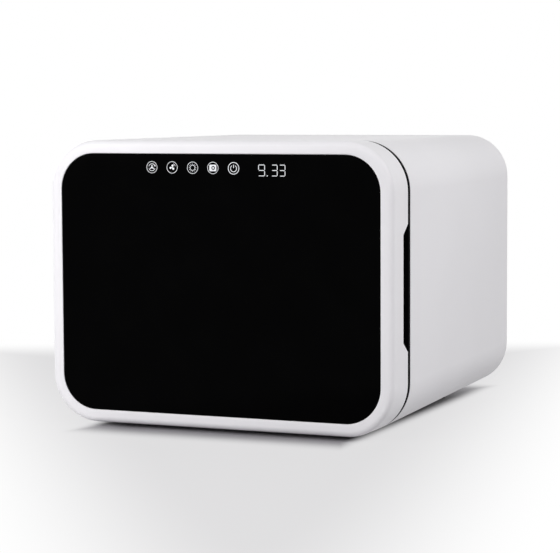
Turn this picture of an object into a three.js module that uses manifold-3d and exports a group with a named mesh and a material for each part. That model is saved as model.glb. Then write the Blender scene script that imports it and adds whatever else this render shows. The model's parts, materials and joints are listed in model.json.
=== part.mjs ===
// Ultraviolet sterilizer box: a cabinet round a steel chamber with two lamps, a fan heater and two
// racks, closed by a glass-faced door. Millimetres, +Z up. The front faces -Y and the door hangs on
// its left edge. The origin is on the floor, under the middle of the box.

import * as THREE from "three";
import { mergeVertices } from "three/addons/utils/BufferGeometryUtils.js";
import Module from "manifold-3d";

const wasm = await Module();
wasm.setup();

// Cabinet and door as a whole
const cabinetWidth = 374;
const cabinetHeight = 288;
const cabinetDepth = 372;
const doorThickness = 42;
const seamGap = 3;
const frontCornerRadius = 50;
const rearCornerRadius = 46;
const floorClearance = 4;
const bottomRise = 11;
const fitGap = 0.3;
const overrun = 1;
const leastRadius = 0.5;
const joinDepth = 0.5;

// Outer shell
const shellWall = 3;
const rimRounding = 1;
const rearRounding = 6;
const rearLip = 2;
const rearRecess = 3.5;
const rearLedge = 6;
const rearLedgeThickness = 3;
const rearLedgeSlope = 8;

// Screws, shared by the rear cover and the door liner
const screwRadius = 1.5;
const screwHeadRadius = 3.4;
const screwHeadHeight = 1.9;
const screwLength = 14;
const screwBossRadius = 5.6;
const rearScrewSetback = 13;
const rearBossLength = 16;

// Feet
const footRadius = 9;
const footTaper = 1;
const footSeat = 1;
const footSideMargin = 66;
const footFrontMargin = 34;
const footRearMargin = 50;

// Front frame and chamber
const frontFrameThickness = 8;
const frameReveal = 4.5;
const frameEdgeInset = 0.5;
const chamberSideMargin = 31;
const chamberFloorMargin = 24;
const chamberRoofMargin = 30;
const machineDepth = 68;
const chamberRadius = 20;
const linerWall = 1.2;
const linerFlange = 6.5;

// Door frame, glass and liner
const doorFrontRounding = 6;
const doorWall = 3;
const bezelWidth = 13;
const bezelThickness = 3.5;
const glassRebateWall = 2;
const glassLedge = 3;
const glassInset = 0.4;
const glassThickness = 4;
const doorLinerThickness = 2.5;
const doorLinerRaise = 2;
const doorLinerRaiseInset = 36;
const gasketInset = 21.5;
const gasketWidth = 7;
const doorScrewSpread = 110;

// Finger recess in the door's right rear edge, as a share of the edge's straight part
const gripLengthShare = 0.645;
const gripDepth = 11;
const gripReach = 14;
const gripEndSlope = 10;
const gripWall = 2;
const gripSideInset = 0.6;

// Hinges
const hingeSideInset = 7;
const hingeSetback = 14;
const hingeEndInset = 60;
const hingePinRadius = 2.5;
const hingePinAbove = 16;
const hingePinBelow = 12;
const hingeEyeRadius = 4.5;
const bracketThickness = 3;
const bracketFrontClearance = 7;
const bracketSlotClearance = 1;
const bracketTongueWidth = 9;
const bracketPlateWidth = 19;
const bracketPlateHeight = 30;
const bracketPlateThickness = 2;
const hingeBlockHeight = 40;
const hingeBlockWidth = 15;
const hingeBlockDepth = 26;
const bushWall = 2;
const bushLength = 12;

// Magnetic catch and door sensor
const magnetWidth = 7;
const magnetLength = 24;
const magnetThickness = 6;
const catchOffsetShare = 0.894;
const strikeWidth = 11;
const strikeLength = 30;
const strikeThickness = 1.5;
const strikeSideInset = 6;
const sensorWidth = 12;
const sensorHeight = 20;
const sensorDepth = 9;
const sensorGap = 7;

// Touch controls behind the glass
const touchCount = 5;
const touchFirstOffset = 68.5;
const touchPitch = 22.3;
const touchDrop = 14.3;
const touchPadRadius = 5.5;
const boardThickness = 1.6;
const touchBoardHeight = 25;
const touchBoardMargin = 10;
const displayOffset = 61;
const displayDrop = 16.2;
const displayWidth = 32;
const displayHeight = 14;
const displayDepth = 7;

// Racks and their rails
const railSheet = 1.5;
const railFrontMargin = 22;
const railRearMargin = 22;
const railHeight = 124;
const railFloorMargin = 2;
const ledgeWidth = 9;
const lowerLedgeRise = 5;
const upperLedgeRise = 108;
const railWindowWidth = 34;
const railWindowHeight = 34;
const rackWireRadius = 2;
const rackBarRadius = 1.5;
const rackSideGap = 3;
const rackFrontGap = 20;
const rackLampGap = 3;
const rackCornerRadius = 12;
const rackBarPitch = 20;
const rackBeamCount = 2;

// Lamps, each with a reflector, two sockets and a wire guard
const lampSideMargin = 50;
const tubeRadius = 8;
const tubeCapLength = 12;
const tubeNeck = 0.4;
const tubePinRadius = 1.2;
const tubePinLength = 6.5;
const tubePinSpread = 2.4;
const tubeDrop = 16;
const socketThickness = 9;
const socketWidth = 20;
const socketBelowTube = 10;
const socketBore = 0.4;
const reflectorSheet = 0.8;
const reflectorTop = 40;
const reflectorFlare = 18;
const reflectorDepth = 20;
const reflectorEnd = 8;
const guardWireRadius = 1;
const guardHoopCount = 5;
const guardClearance = 5;
const rearLampDrop = 84;

// Fan and heater, in line behind the chamber's lower left
const airSideMargin = 64;
const airFloorMargin = 58;
const fanSize = 60;
const fanDepth = 15;
const fanBoreRadius = 28;
const fanRotorRadius = 26.5;
const fanHubRadius = 13;
const fanHubWall = 2.5;
const fanPlate = 2;
const fanStrutWidth = 4;
const fanMotorRadius = 9.5;
const fanShaftRadius = 1.5;
const fanRunningGap = 1;
const fanBladeCount = 7;
const fanBladeThickness = 1.4;
const fanBladePitch = THREE.MathUtils.degToRad(38);
const ductWall = 2;
const heaterFrameWall = 3;
const heaterDepth = 14;
const heaterRearGap = 6;
const finCount = 8;
const finGap = 3;
const grilleSlotCount = 7;
const grilleSlotHeight = 3;
const cutoutRadius = 7;
const cutoutHeight = 5;

// Rear cover, air filter and inlet
const rearCoverThickness = 2.5;
const filterSize = 76;
const filterPocketWall = 2;
const filterPocketDepth = 12;
const filterPadDepth = 7;
const filterRim = 4;
const filterGripWidth = 22;
const filterGripHeight = 9;
const inletWidth = 24;
const inletHeight = 17;
const inletDepth = 24;
const inletFlange = 4;
const inletFlangeThickness = 1;
const inletSocketWidth = 15;
const inletSocketHeight = 9;
const inletSocketDepth = 15;
const inletPinRadius = 1.2;
const inletPinSpread = 4.3;
const inletPinLength = 12;
const inletSideMargin = 60;
const inletFloorMargin = 38;
const ventCount = 9;
const ventWidth = 3;
const ventHeight = 34;
const ventPitch = 9;
const ventSideMargin = 90;
const ventRise = 128;

// Power board and lamp ballast behind the chamber's right side
const powerBoardWidth = 120;
const powerBoardHeight = 84;
const powerBoardStandoff = 28;
const powerBoardSideMargin = 118;
const powerBoardRise = 122;
const postRadius = 3;
const postInset = 8;
const ballastWidth = 118;
const ballastHeight = 30;
const ballastDepth = 24;
const ballastRise = 208;
const ballastSideMargin = 150;
const ballastCoverOverlap = 8;
const ballastRidge = 2;

// Counts and shares that carry no length
const cornerSteps = 8;
const roundingSteps = 4;
const smallSides = 12;
const wireSides = 6;
const rackCornerSteps = 2;

// Places that follow from the sizes above
const halfWidth = cabinetWidth / 2;
const frontY = -cabinetDepth / 2;
const backY = cabinetDepth / 2;
const doorBackY = frontY + doorThickness;
const rimY = doorBackY + seamGap;
const bottomZ = floorClearance;
const topZ = floorClearance + cabinetHeight;
const middleZ = (bottomZ + topZ) / 2;
const shellRimY = rimY + frameReveal;
const frameBackY = rimY + frontFrameThickness;
const chamberHalf = halfWidth - chamberSideMargin;
const chamberFloorZ = bottomZ + chamberFloorMargin;
const chamberRoofZ = topZ - chamberRoofMargin;
const chamberBackY = backY - machineDepth;
const tubeLength = (chamberHalf - lampSideMargin) * 2;
const lampDepth = tubeDrop + tubeRadius + guardClearance + guardWireRadius;
const linerBackY = chamberBackY + linerWall;
const coverFrontY = backY - rearRecess;
const coverBackY = coverFrontY + rearCoverThickness;
const glassTopZ = topZ - bezelWidth;
const glassFrontY = frontY + glassInset;
const glassBackY = glassFrontY + glassThickness;
const doorInnerInset = bezelWidth + glassLedge;
const doorChannelInset = bezelWidth - glassRebateWall;
const doorChannelEndY = doorBackY - doorLinerThickness - fitGap;
const airX = -chamberHalf + airSideMargin;
const airZ = chamberFloorZ + airFloorMargin;
const pocketFloorY = coverFrontY - filterPocketDepth;
const fanBackY = pocketFloorY - fitGap;
const fanFrontY = fanBackY - fanDepth;

// The model itself, filled in by the sections below
const box = new THREE.Group();

function finish(color, roughness, metalness = 0) {
  return new THREE.MeshStandardMaterial({ color, roughness, metalness });
}

const finishes = {
  white: finish(0xf1f1f4, 0.25),
  blackGlass: finish(0x050506, 0.05),
  darkPlastic: finish(0x1c1c1f, 0.55),
  greyPlastic: finish(0xb9bbbf, 0.5),
  nylon: finish(0xe6e3da, 0.5),
  rubber: finish(0x2a2a2c, 0.8),
  steel: finish(0xc3c5c8, 0.28, 1),
  mirror: finish(0xe4e6ea, 0.08, 1),
  aluminium: finish(0xaeb2b6, 0.4, 1),
  quartz: finish(0xe9eef5, 0.15),
  board: finish(0x1f5a36, 0.5),
  foam: finish(0x4a4c50, 0.95),
};

function add(name, geometry, material, parent = box) {
  const mesh = new THREE.Mesh(geometry, material);
  mesh.name = name;
  parent.add(mesh);
  return mesh;
}

// Solids joined and cut

function solidOf(geometry) {
  const bare = geometry.clone();
  bare.deleteAttribute("normal");
  bare.deleteAttribute("uv");
  const merged = mergeVertices(bare);
  const vertProperties = new Float32Array(merged.attributes.position.array);
  const triVerts = new Uint32Array(merged.index.array);
  return new wasm.Manifold(new wasm.Mesh({ numProp: 3, vertProperties, triVerts }));
}

function geometryOf(solid) {
  const mesh = solid.getMesh();
  const geometry = new THREE.BufferGeometry();
  geometry.setAttribute("position", new THREE.BufferAttribute(mesh.vertProperties, 3));
  geometry.setIndex(new THREE.BufferAttribute(mesh.triVerts, 1));
  geometry.computeVertexNormals();
  return geometry;
}

function unionOf(pieces) {
  return pieces.map(solidOf).reduce((whole, piece) => whole.add(piece));
}

function join(...pieces) {
  return geometryOf(unionOf(pieces));
}

function cut(base, ...tools) {
  return geometryOf(solidOf(base).subtract(unionOf(tools)));
}

// Plain shapes placed by their limits

function block([x0, x1], [y0, y1], [z0, z1]) {
  const geometry = new THREE.BoxGeometry(x1 - x0, y1 - y0, z1 - z0);
  return geometry.translate((x0 + x1) / 2, (y0 + y1) / 2, (z0 + z1) / 2);
}

function around(centre, size) {
  return [centre - size / 2, centre + size / 2];
}

function rodX(y, z, radius, [x0, x1], sides = smallSides) {
  const geometry = new THREE.CylinderGeometry(radius, radius, x1 - x0, sides);
  return geometry.rotateZ(Math.PI / 2).translate((x0 + x1) / 2, y, z);
}

function rodY(x, z, radius, [y0, y1], sides = smallSides) {
  const geometry = new THREE.CylinderGeometry(radius, radius, y1 - y0, sides);
  return geometry.translate(x, (y0 + y1) / 2, z);
}

function rodZ(x, y, radius, [z0, z1], sides = smallSides) {
  const geometry = new THREE.CylinderGeometry(radius, radius, z1 - z0, sides);
  return geometry.rotateX(Math.PI / 2).translate(x, y, (z0 + z1) / 2);
}

function outlineOf(points) {
  return new THREE.Shape(points.map(([a, b]) => new THREE.Vector2(a, b)));
}

function extruded(shape, depth) {
  return new THREE.ExtrudeGeometry(shape, { depth, bevelEnabled: false, curveSegments: cornerSteps });
}

// An outline drawn in X and Z, thick along Y
function acrossY(shape, [y0, y1]) {
  return extruded(shape, y1 - y0).rotateX(Math.PI / 2).translate(0, y1, 0);
}

// An outline drawn in Y and Z, thick along X
function acrossX(shape, [x0, x1]) {
  const turn = new THREE.Matrix4().set(0, 0, 1, 0, 1, 0, 0, 0, 0, 1, 0, 0, 0, 0, 0, 1);
  return extruded(shape, x1 - x0).applyMatrix4(turn).translate(x0, 0, 0);
}

function roundedShape([x0, x1], [z0, z1], radius) {
  const shape = new THREE.Shape();
  shape.absarc(x1 - radius, z1 - radius, radius, 0, Math.PI / 2);
  shape.absarc(x0 + radius, z1 - radius, radius, Math.PI / 2, Math.PI);
  shape.absarc(x0 + radius, z0 + radius, radius, Math.PI, Math.PI * 3 / 2);
  shape.absarc(x1 - radius, z0 + radius, radius, Math.PI * 3 / 2, Math.PI * 2);
  return shape;
}

// Lofted forms: rounded rectangles stacked along Y

function signedVolume(points, faces) {
  const cross = new THREE.Vector3();
  return faces.reduce((sum, [a, b, c]) => sum + cross.crossVectors(points[b], points[c]).dot(points[a]), 0);
}

function meshOf(points, faces) {
  const facing = signedVolume(points, faces) < 0 ? faces.map(([a, b, c]) => [a, c, b]) : faces;
  const geometry = new THREE.BufferGeometry().setFromPoints(points);
  geometry.setIndex(facing.flat());
  geometry.computeVertexNormals();
  return geometry;
}

function loft(rings, closed = false) {
  const count = rings[0].length;
  const spans = closed ? rings.length : rings.length - 1;
  const faces = [];
  for (let i = 0; i < spans; i += 1) {
    const near = i * count;
    const far = ((i + 1) % rings.length) * count;
    for (let j = 0; j < count; j += 1) {
      const k = (j + 1) % count;
      faces.push([near + j, near + k, far + k], [near + j, far + k, far + j]);
    }
  }
  const last = (rings.length - 1) * count;
  for (let j = 1; j < count - 1 && !closed; j += 1) {
    faces.push([0, j + 1, j], [last, last + j, last + j + 1]);
  }
  return meshOf(rings.flat(), faces);
}

function ring(y, section, inset = 0) {
  const radius = Math.max(section.radius - inset, leastRadius);
  const reach = section.half - inset - radius;
  const high = section.top - inset - radius;
  const low = section.bottom + inset + radius;
  const corners = [[reach, high], [-reach, high], [-reach, low], [reach, low]];
  return corners.flatMap(([x, z], corner) => Array.from({ length: cornerSteps + 1 }, (_, step) => {
    const angle = (corner + step / cornerSteps) * Math.PI / 2;
    return new THREE.Vector3(x + radius * Math.cos(angle), y, z + radius * Math.sin(angle));
  }));
}

// The cabinet's outline at a depth: its underside climbs and its corners tighten towards the back
function cabinetSection(y) {
  const share = THREE.MathUtils.clamp((y - rimY) / (backY - rimY), 0, 1);
  return {
    half: halfWidth,
    bottom: bottomZ + bottomRise * share,
    top: topZ,
    radius: THREE.MathUtils.lerp(frontCornerRadius, rearCornerRadius, share),
  };
}

function cabinetRing(y, inset) {
  return ring(y, cabinetSection(y), inset);
}

const chamberSection = {
  half: chamberHalf, bottom: chamberFloorZ, top: chamberRoofZ, radius: chamberRadius,
};

// A quarter round from the front face (inset by the radius) to the side, as [depth, inset] pairs
function quarterRound(radius, steps = roundingSteps) {
  return Array.from({ length: steps + 1 }, (_, step) => {
    const angle = (step / steps) * Math.PI / 2;
    return [radius * (1 - Math.cos(angle)), radius * (1 - Math.sin(angle))];
  });
}

// A screw with its flat head at a depth and its shank towards the front, or the bore that it sits in
function countersunk(x, z, headY, clearance = 0) {
  const radius = screwRadius + clearance;
  const head = new THREE.CylinderGeometry(screwHeadRadius + clearance, radius, screwHeadHeight, smallSides);
  head.translate(x, headY - screwHeadHeight / 2, z);
  const shank = rodY(x, z, radius, [headY - screwLength - clearance, headY - screwHeadHeight + joinDepth]);
  return join(head, shank);
}

// Outer shell: sleeve with a rounded rear edge and a ledge that takes the rear cover

function rearScrewPlaces() {
  const section = cabinetSection(backY);
  const reach = (section.radius - rearScrewSetback) * Math.SQRT1_2;
  const x = section.half - section.radius + reach;
  const high = section.top - section.radius + reach;
  const low = section.bottom + section.radius - reach;
  return [[-x, high], [x, high], [-x, low], [x, low]];
}

function footPlaces() {
  const x = halfWidth - footSideMargin;
  const front = rimY + footFrontMargin;
  const rear = backY - footRearMargin;
  return { front_left: [-x, front], front_right: [x, front], rear_left: [-x, rear], rear_right: [x, rear] };
}

function makeOuterShell() {
  const recessInset = rearRounding + rearLip;
  const ledgeInset = recessInset + rearLedge;
  const ledgeY = coverFrontY - rearLedgeThickness;
  const rear = quarterRound(rearRounding).reverse().map(([depth, inset]) => [backY - depth, inset]);
  const profile = [
    [shellRimY, rimRounding], [shellRimY + rimRounding, 0], ...rear,
    [backY, recessInset], [coverFrontY, recessInset], [coverFrontY, ledgeInset],
    [ledgeY, ledgeInset], [ledgeY - rearLedgeSlope, shellWall], [shellRimY, shellWall],
  ];
  const sleeve = loft(profile.map(([y, inset]) => cabinetRing(y, inset)), true);
  const bosses = rearScrewPlaces().map(([x, z]) =>
    rodY(x, z, screwBossRadius, [coverFrontY - rearBossLength, coverFrontY]));
  const bores = rearScrewPlaces().map(([x, z]) => countersunk(x, z, coverBackY, fitGap));
  const seats = Object.values(footPlaces()).map(([x, y]) => {
    const seatZ = cabinetSection(y).bottom + footSeat + fitGap;
    return rodZ(x, y, footRadius + fitGap, [bottomZ - overrun, seatZ]);
  });
  return cut(join(sleeve, ...bosses), ...bores, ...seats);
}

function makeFoot([x, y]) {
  const top = cabinetSection(y).bottom + footSeat;
  const geometry = new THREE.CylinderGeometry(footRadius, footRadius - footTaper, top, smallSides);
  return geometry.rotateX(Math.PI / 2).translate(x, y, top / 2);
}

// Front frame: the dark ring round the chamber's mouth. Its edge shows between the door and the shell

const bracketX = -halfWidth + hingeSideInset;
const bracketY = doorBackY - hingeSetback;
const bracketLeftX = -halfWidth + shellWall + fitGap * 3;
const hingeHeights = { upper: topZ - hingeEndInset, lower: bottomZ + hingeEndInset };
const strikeX = halfWidth - strikeSideInset - strikeWidth / 2;
const straightHalf = cabinetHeight / 2 - frontCornerRadius;
const gripLength = straightHalf * 2 * gripLengthShare;
const catchOffset = straightHalf * catchOffsetShare;
const catchHeights = { upper: middleZ + catchOffset, lower: middleZ - catchOffset };
const sensorZ = catchHeights.upper - (strikeLength + sensorHeight) / 2 - sensorGap;

function makeFrontFrame() {
  const outer = shellWall + fitGap;
  const edgeBackY = shellRimY - fitGap;
  const body = loft([
    cabinetRing(rimY, frameEdgeInset), cabinetRing(edgeBackY, frameEdgeInset),
    cabinetRing(edgeBackY, outer), cabinetRing(frameBackY, outer),
    ring(frameBackY, chamberSection), ring(rimY, chamberSection),
  ], true);
  const depth = [rimY - overrun, frameBackY + overrun];
  const slots = Object.values(hingeHeights).map((z) => block(
    [bracketLeftX - fitGap, bracketLeftX + bracketTongueWidth + fitGap], depth,
    around(z, bracketThickness + fitGap * 2)));
  const pockets = Object.values(catchHeights).map((z) => block(
    around(strikeX, strikeWidth + fitGap * 2), [rimY - overrun, rimY + strikeThickness + fitGap],
    around(z, strikeLength + fitGap * 2)));
  const sensor = block(around(strikeX, sensorWidth + fitGap * 2), [rimY + rimRounding, depth[1]],
    around(sensorZ, sensorHeight + fitGap * 2));
  return cut(body, ...slots, ...pockets, sensor);
}

// Chamber: a seamless pan with a flange at its mouth and an air grille low at the back left

function grilleSlots(width, pitchHeight, depth) {
  const pitch = pitchHeight / grilleSlotCount;
  return Array.from({ length: grilleSlotCount }, (_, i) => block(around(airX, width), depth,
    around(airZ + (i - (grilleSlotCount - 1) / 2) * pitch, grilleSlotHeight)));
}

function makeChamberLiner() {
  const flangeFront = frameBackY + fitGap;
  const flangeBack = flangeFront + linerWall;
  const pan = loft([
    ring(linerBackY, chamberSection, -linerWall), ring(flangeBack, chamberSection, -linerWall),
    ring(flangeBack, chamberSection, -linerFlange), ring(flangeFront, chamberSection, -linerFlange),
    ring(flangeFront, chamberSection), ring(chamberBackY, chamberSection),
  ]);
  const inside = fanSize - ductWall * 4;
  return cut(pan, ...grilleSlots(inside, inside, [chamberBackY - overrun, linerBackY + overrun]));
}

// Racks on pressed rails

const railYs = [frameBackY + railFrontMargin, chamberBackY - railRearMargin];
const railFloorZ = chamberFloorZ + chamberRadius + railFloorMargin;
const ledgeZs = { lower: railFloorZ + lowerLedgeRise, upper: railFloorZ + upperLedgeRise };

function makeRail(side) {
  const wallX = chamberHalf - fitGap;
  const innerX = wallX - railSheet;
  const ledgeX = innerX - ledgeWidth;
  const plate = block([innerX, wallX], railYs, [railFloorZ, railFloorZ + railHeight]);
  const ledges = Object.values(ledgeZs).map((z) =>
    block([ledgeX, wallX - railSheet / 2], railYs, [z - railSheet, z]));
  const windowZ = (ledgeZs.lower + ledgeZs.upper) / 2;
  const middleY = (railYs[0] + railYs[1]) / 2;
  const windows = [-1, 0, 1].map((i) => block([innerX - overrun, wallX + overrun],
    around(middleY + i * (railYs[1] - railYs[0]) / 3, railWindowWidth), around(windowZ, railWindowHeight)));
  const rail = cut(join(plate, ...ledges), ...windows);
  return side > 0 ? rail : rail.rotateZ(Math.PI).translate(0, railYs[0] + railYs[1], 0);
}

// A closed wire along points in a plane square to Z
function wireLoop(points, radius) {
  const count = points.length;
  const rings = points.map((point, i) => {
    const along = points[(i + 1) % count].clone().sub(points[(i + count - 1) % count]).normalize();
    const aside = new THREE.Vector3(-along.y, along.x, 0);
    return Array.from({ length: wireSides }, (_, step) => {
      const angle = (step + 0.5) / wireSides * Math.PI * 2;
      return point.clone().addScaledVector(aside, radius * Math.cos(angle))
        .add(new THREE.Vector3(0, 0, radius * Math.sin(angle)));
    });
  });
  return loft(rings, true);
}

function makeRack(ledgeZ) {
  const z = ledgeZ + fitGap + rackWireRadius;
  const half = chamberHalf - fitGap - railSheet - rackSideGap - rackWireRadius;
  const ys = [frameBackY + rackFrontGap, chamberBackY - fitGap - lampDepth - rackLampGap - rackWireRadius];
  const outline = roundedShape([-half, half], ys, rackCornerRadius).getPoints(rackCornerSteps);
  const unique = outline.filter((p, i) => p.distanceTo(outline[(i + 1) % outline.length]) > fitGap);
  const rim = wireLoop(unique.map((p) => new THREE.Vector3(p.x, p.y, z)), rackWireRadius);
  const barCount = Math.floor((half - rackCornerRadius) / rackBarPitch);
  const bars = Array.from({ length: barCount * 2 + 1 }, (_, i) =>
    rodY((i - barCount) * rackBarPitch, z, rackBarRadius, ys, wireSides));
  const beams = Array.from({ length: rackBeamCount }, (_, i) => {
    const y = THREE.MathUtils.lerp(ys[0], ys[1], (i + 1) / (rackBeamCount + 1));
    return rodX(y, z - rackBarRadius, rackBarRadius, [ledgeWidth - half, half - ledgeWidth], wireSides);
  });
  return join(rim, ...bars, ...beams);
}

// A lamp: local z = 0 is the wall that it hangs on, and it hangs down -z along X

function makeReflector() {
  const near = reflectorTop / 2;
  const far = near + reflectorFlare;
  const skin = reflectorSheet;
  const shape = outlineOf([
    [-near, 0], [near, 0], [far, -reflectorDepth], [far - skin, -reflectorDepth - skin],
    [near - skin, -skin], [-near + skin, -skin],
    [-far + skin, -reflectorDepth - skin], [-far, -reflectorDepth],
  ]);
  const half = tubeLength / 2 + socketThickness + reflectorEnd;
  return acrossX(shape, [-half, half]);
}

function makeTube() {
  const half = tubeLength / 2;
  const glass = tubeRadius - tubeNeck;
  const profile = [
    [0, -half], [tubeRadius, -half], [tubeRadius, -half + tubeCapLength], [glass, -half + tubeCapLength],
    [glass, half - tubeCapLength], [tubeRadius, half - tubeCapLength], [tubeRadius, half], [0, half],
  ].map(([radius, along]) => new THREE.Vector2(radius, along));
  const body = new THREE.LatheGeometry(profile, smallSides).rotateZ(Math.PI / 2).translate(0, 0, -tubeDrop);
  const pins = [-1, 1].flatMap((end) => [-1, 1].map((place) => rodX(place * tubePinSpread, -tubeDrop,
    tubePinRadius, around(end * (half + tubePinLength / 2), tubePinLength), wireSides)));
  return join(body, ...pins);
}

function makeSocket(end) {
  const near = tubeLength / 2 + fitGap;
  const span = around(end * (near + socketThickness / 2), socketThickness);
  const body = block(span, around(0, socketWidth), [-tubeDrop - socketBelowTube, -reflectorSheet - fitGap]);
  const boreEnds = [end * (near - overrun), end * (tubeLength / 2 + tubePinLength + fitGap)];
  boreEnds.sort((a, b) => a - b);
  const bores = [-1, 1].map((place) =>
    rodX(place * tubePinSpread, -tubeDrop, tubePinRadius + socketBore, boreEnds, wireSides));
  return cut(body, ...bores);
}

// The guard: two long wires under the tube, and hoops that rise to the reflector's top
function makeLampGuard() {
  const side = tubeRadius + guardClearance + guardWireRadius;
  const low = -tubeDrop - tubeRadius - guardClearance;
  const high = -reflectorSheet - fitGap;
  const reach = tubeLength / 2 - tubeCapLength;
  const rails = [-1, 1].map((place) =>
    rodX(place * side, low, guardWireRadius, [-reach, reach], wireSides));
  const hoops = Array.from({ length: guardHoopCount }, (_, i) => {
    const x = THREE.MathUtils.lerp(-reach, reach, (i + 0.5) / guardHoopCount);
    const legs = [-1, 1].map((place) => rodZ(x, place * side, guardWireRadius, [low, high], wireSides));
    const foot = new THREE.CylinderGeometry(guardWireRadius, guardWireRadius, side * 2, wireSides);
    return [...legs, foot.translate(x, 0, low)];
  });
  return join(...rails, ...hoops.flat());
}

function addLamp(name, place, turn) {
  const group = new THREE.Group();
  group.position.copy(place);
  group.rotation.x = turn;
  box.add(group);
  add(`${name}_reflector`, makeReflector(), finishes.mirror, group);
  add(`${name}_uv_tube`, makeTube(), finishes.quartz, group);
  add(`${name}_socket_left`, makeSocket(-1), finishes.nylon, group);
  add(`${name}_socket_right`, makeSocket(1), finishes.nylon, group);
  add(`${name}_lamp_guard`, makeLampGuard(), finishes.steel, group);
}

// Fan: frame with a motor plate on struts, motor, and a cup-shaped rotor with its blades

function fanSquare(size) {
  return [around(airX, size), around(airZ, size)];
}

function makeFanHousing() {
  const [xs, zs] = fanSquare(fanSize);
  const bore = rodY(airX, airZ, fanBoreRadius, [fanFrontY - overrun, fanBackY + overrun], smallSides * 2);
  const frame = cut(block(xs, [fanFrontY, fanBackY], zs), bore);
  const plateYs = [fanFrontY, fanFrontY + fanPlate];
  const plate = rodY(airX, airZ, fanHubRadius, plateYs, smallSides * 2);
  const reach = fanBoreRadius + joinDepth;
  const strutX = block([airX - reach, airX + reach], plateYs, around(airZ, fanStrutWidth));
  const strutZ = block(around(airX, fanStrutWidth), plateYs, [airZ - reach, airZ + reach]);
  return join(frame, plate, strutX, strutZ);
}

const motorYs = [fanFrontY + fanPlate + fitGap, fanBackY - fanHubWall - fanRunningGap * 2];

function makeFanMotor() {
  const bore = rodY(airX, airZ, fanShaftRadius + fitGap, [motorYs[0] + fanPlate, motorYs[1] + overrun]);
  return cut(rodY(airX, airZ, fanMotorRadius, motorYs, smallSides * 2), bore);
}

function makeFanRotor() {
  const cupYs = [motorYs[0] + fanRunningGap, fanBackY - fanRunningGap];
  const hollow = rodY(airX, airZ, fanHubRadius - fanHubWall, [cupYs[0] - overrun, cupYs[1] - fanHubWall],
    smallSides * 2);
  const cup = cut(rodY(airX, airZ, fanHubRadius, cupYs, smallSides * 2), hollow);
  const shaft = rodY(airX, airZ, fanShaftRadius, [motorYs[0] + fanPlate + fitGap, cupYs[1] - joinDepth]);
  const middleY = (cupYs[0] + cupYs[1]) / 2;
  const inner = fanHubRadius - joinDepth;
  const chord = (cupYs[1] - cupYs[0]) / Math.cos(fanBladePitch) - fanBladeThickness * 2;
  const blades = Array.from({ length: fanBladeCount }, (_, i) => {
    const blade = new THREE.BoxGeometry(fanRotorRadius - inner, chord, fanBladeThickness);
    blade.rotateX(fanBladePitch).translate((fanRotorRadius + inner) / 2, 0, 0);
    return blade.rotateY(i / fanBladeCount * Math.PI * 2).translate(airX, middleY, airZ);
  });
  return join(cup, shaft, ...blades);
}

// Duct, heater frame and finned heater between the fan and the chamber's grille

const ductYs = [linerBackY + fitGap, fanFrontY - fitGap];
const heaterYs = [ductYs[1] - heaterRearGap - heaterDepth, ductYs[1] - heaterRearGap];

function squareTube(outer, wall, ys) {
  const [xs, zs] = fanSquare(outer);
  const [innerXs, innerZs] = fanSquare(outer - wall * 2);
  return cut(block(xs, ys, zs), block(innerXs, [ys[0] - overrun, ys[1] + overrun], innerZs));
}

function makeHeaterCore() {
  const size = fanSize - (ductWall + fitGap + heaterFrameWall + fitGap) * 2;
  const [xs, zs] = fanSquare(size);
  const pitch = size / finCount;
  const gaps = Array.from({ length: finCount }, (_, i) => block(
    around(xs[0] + (i + 0.5) * pitch, finGap), [heaterYs[0] - overrun, heaterYs[1] + overrun],
    [zs[0] + finGap, zs[1] - finGap]));
  return cut(block(xs, heaterYs, zs), ...gaps);
}

// Rear cover with the filter pocket, vents, inlet hole and posts for the boards

const inletX = halfWidth - inletSideMargin;
const inletZ = bottomZ + inletFloorMargin;
const ventX = halfWidth - ventSideMargin;
const ventZ = bottomZ + ventRise;
const boardX = halfWidth - powerBoardSideMargin;
const boardZ = bottomZ + powerBoardRise;
const boardYs = [coverFrontY - powerBoardStandoff - boardThickness, coverFrontY - powerBoardStandoff];
const ballastX = halfWidth - ballastSideMargin;
const ballastZ = bottomZ + ballastRise;

function ventSlots(depth) {
  return Array.from({ length: ventCount }, (_, i) => block(
    around(ventX + (i - (ventCount - 1) / 2) * ventPitch, ventWidth), depth, around(ventZ, ventHeight)));
}

function postPlaces() {
  const x = powerBoardWidth / 2 - postInset;
  const z = powerBoardHeight / 2 - postInset;
  return [[-x, -z], [x, -z], [-x, z], [x, z]].map(([dx, dz]) => [boardX + dx, boardZ + dz]);
}

function makeRearCover() {
  const inset = rearRounding + rearLip + fitGap;
  const plate = loft([cabinetRing(coverFrontY, inset), cabinetRing(coverBackY, inset)]);
  const pocketSize = filterSize + fitGap * 2;
  const [outerXs, outerZs] = fanSquare(pocketSize + filterPocketWall * 2);
  const [innerXs, innerZs] = fanSquare(pocketSize);
  const pocket = block(outerXs, [pocketFloorY, coverBackY - joinDepth], outerZs);
  const hollow = block(innerXs, [pocketFloorY + filterPocketWall, coverBackY + overrun], innerZs);
  const floorSlots = grilleSlots(fanBoreRadius * 2 - ductWall * 2, fanBoreRadius * 2,
    [pocketFloorY - overrun, pocketFloorY + filterPocketWall + overrun]);
  const posts = postPlaces().map(([x, z]) =>
    rodY(x, z, postRadius, [boardYs[1] + fitGap, coverFrontY + joinDepth], wireSides));
  const through = [coverFrontY - overrun, coverBackY + overrun];
  const inlet = block(around(inletX, inletWidth + fitGap * 2), through,
    around(inletZ, inletHeight + fitGap * 2));
  const screws = rearScrewPlaces().map(([x, z]) => countersunk(x, z, coverBackY, fitGap));
  const cover = join(plate, pocket, ...posts);
  return cut(cover, hollow, ...floorSlots, ...ventSlots(through), inlet, ...screws);
}

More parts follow.
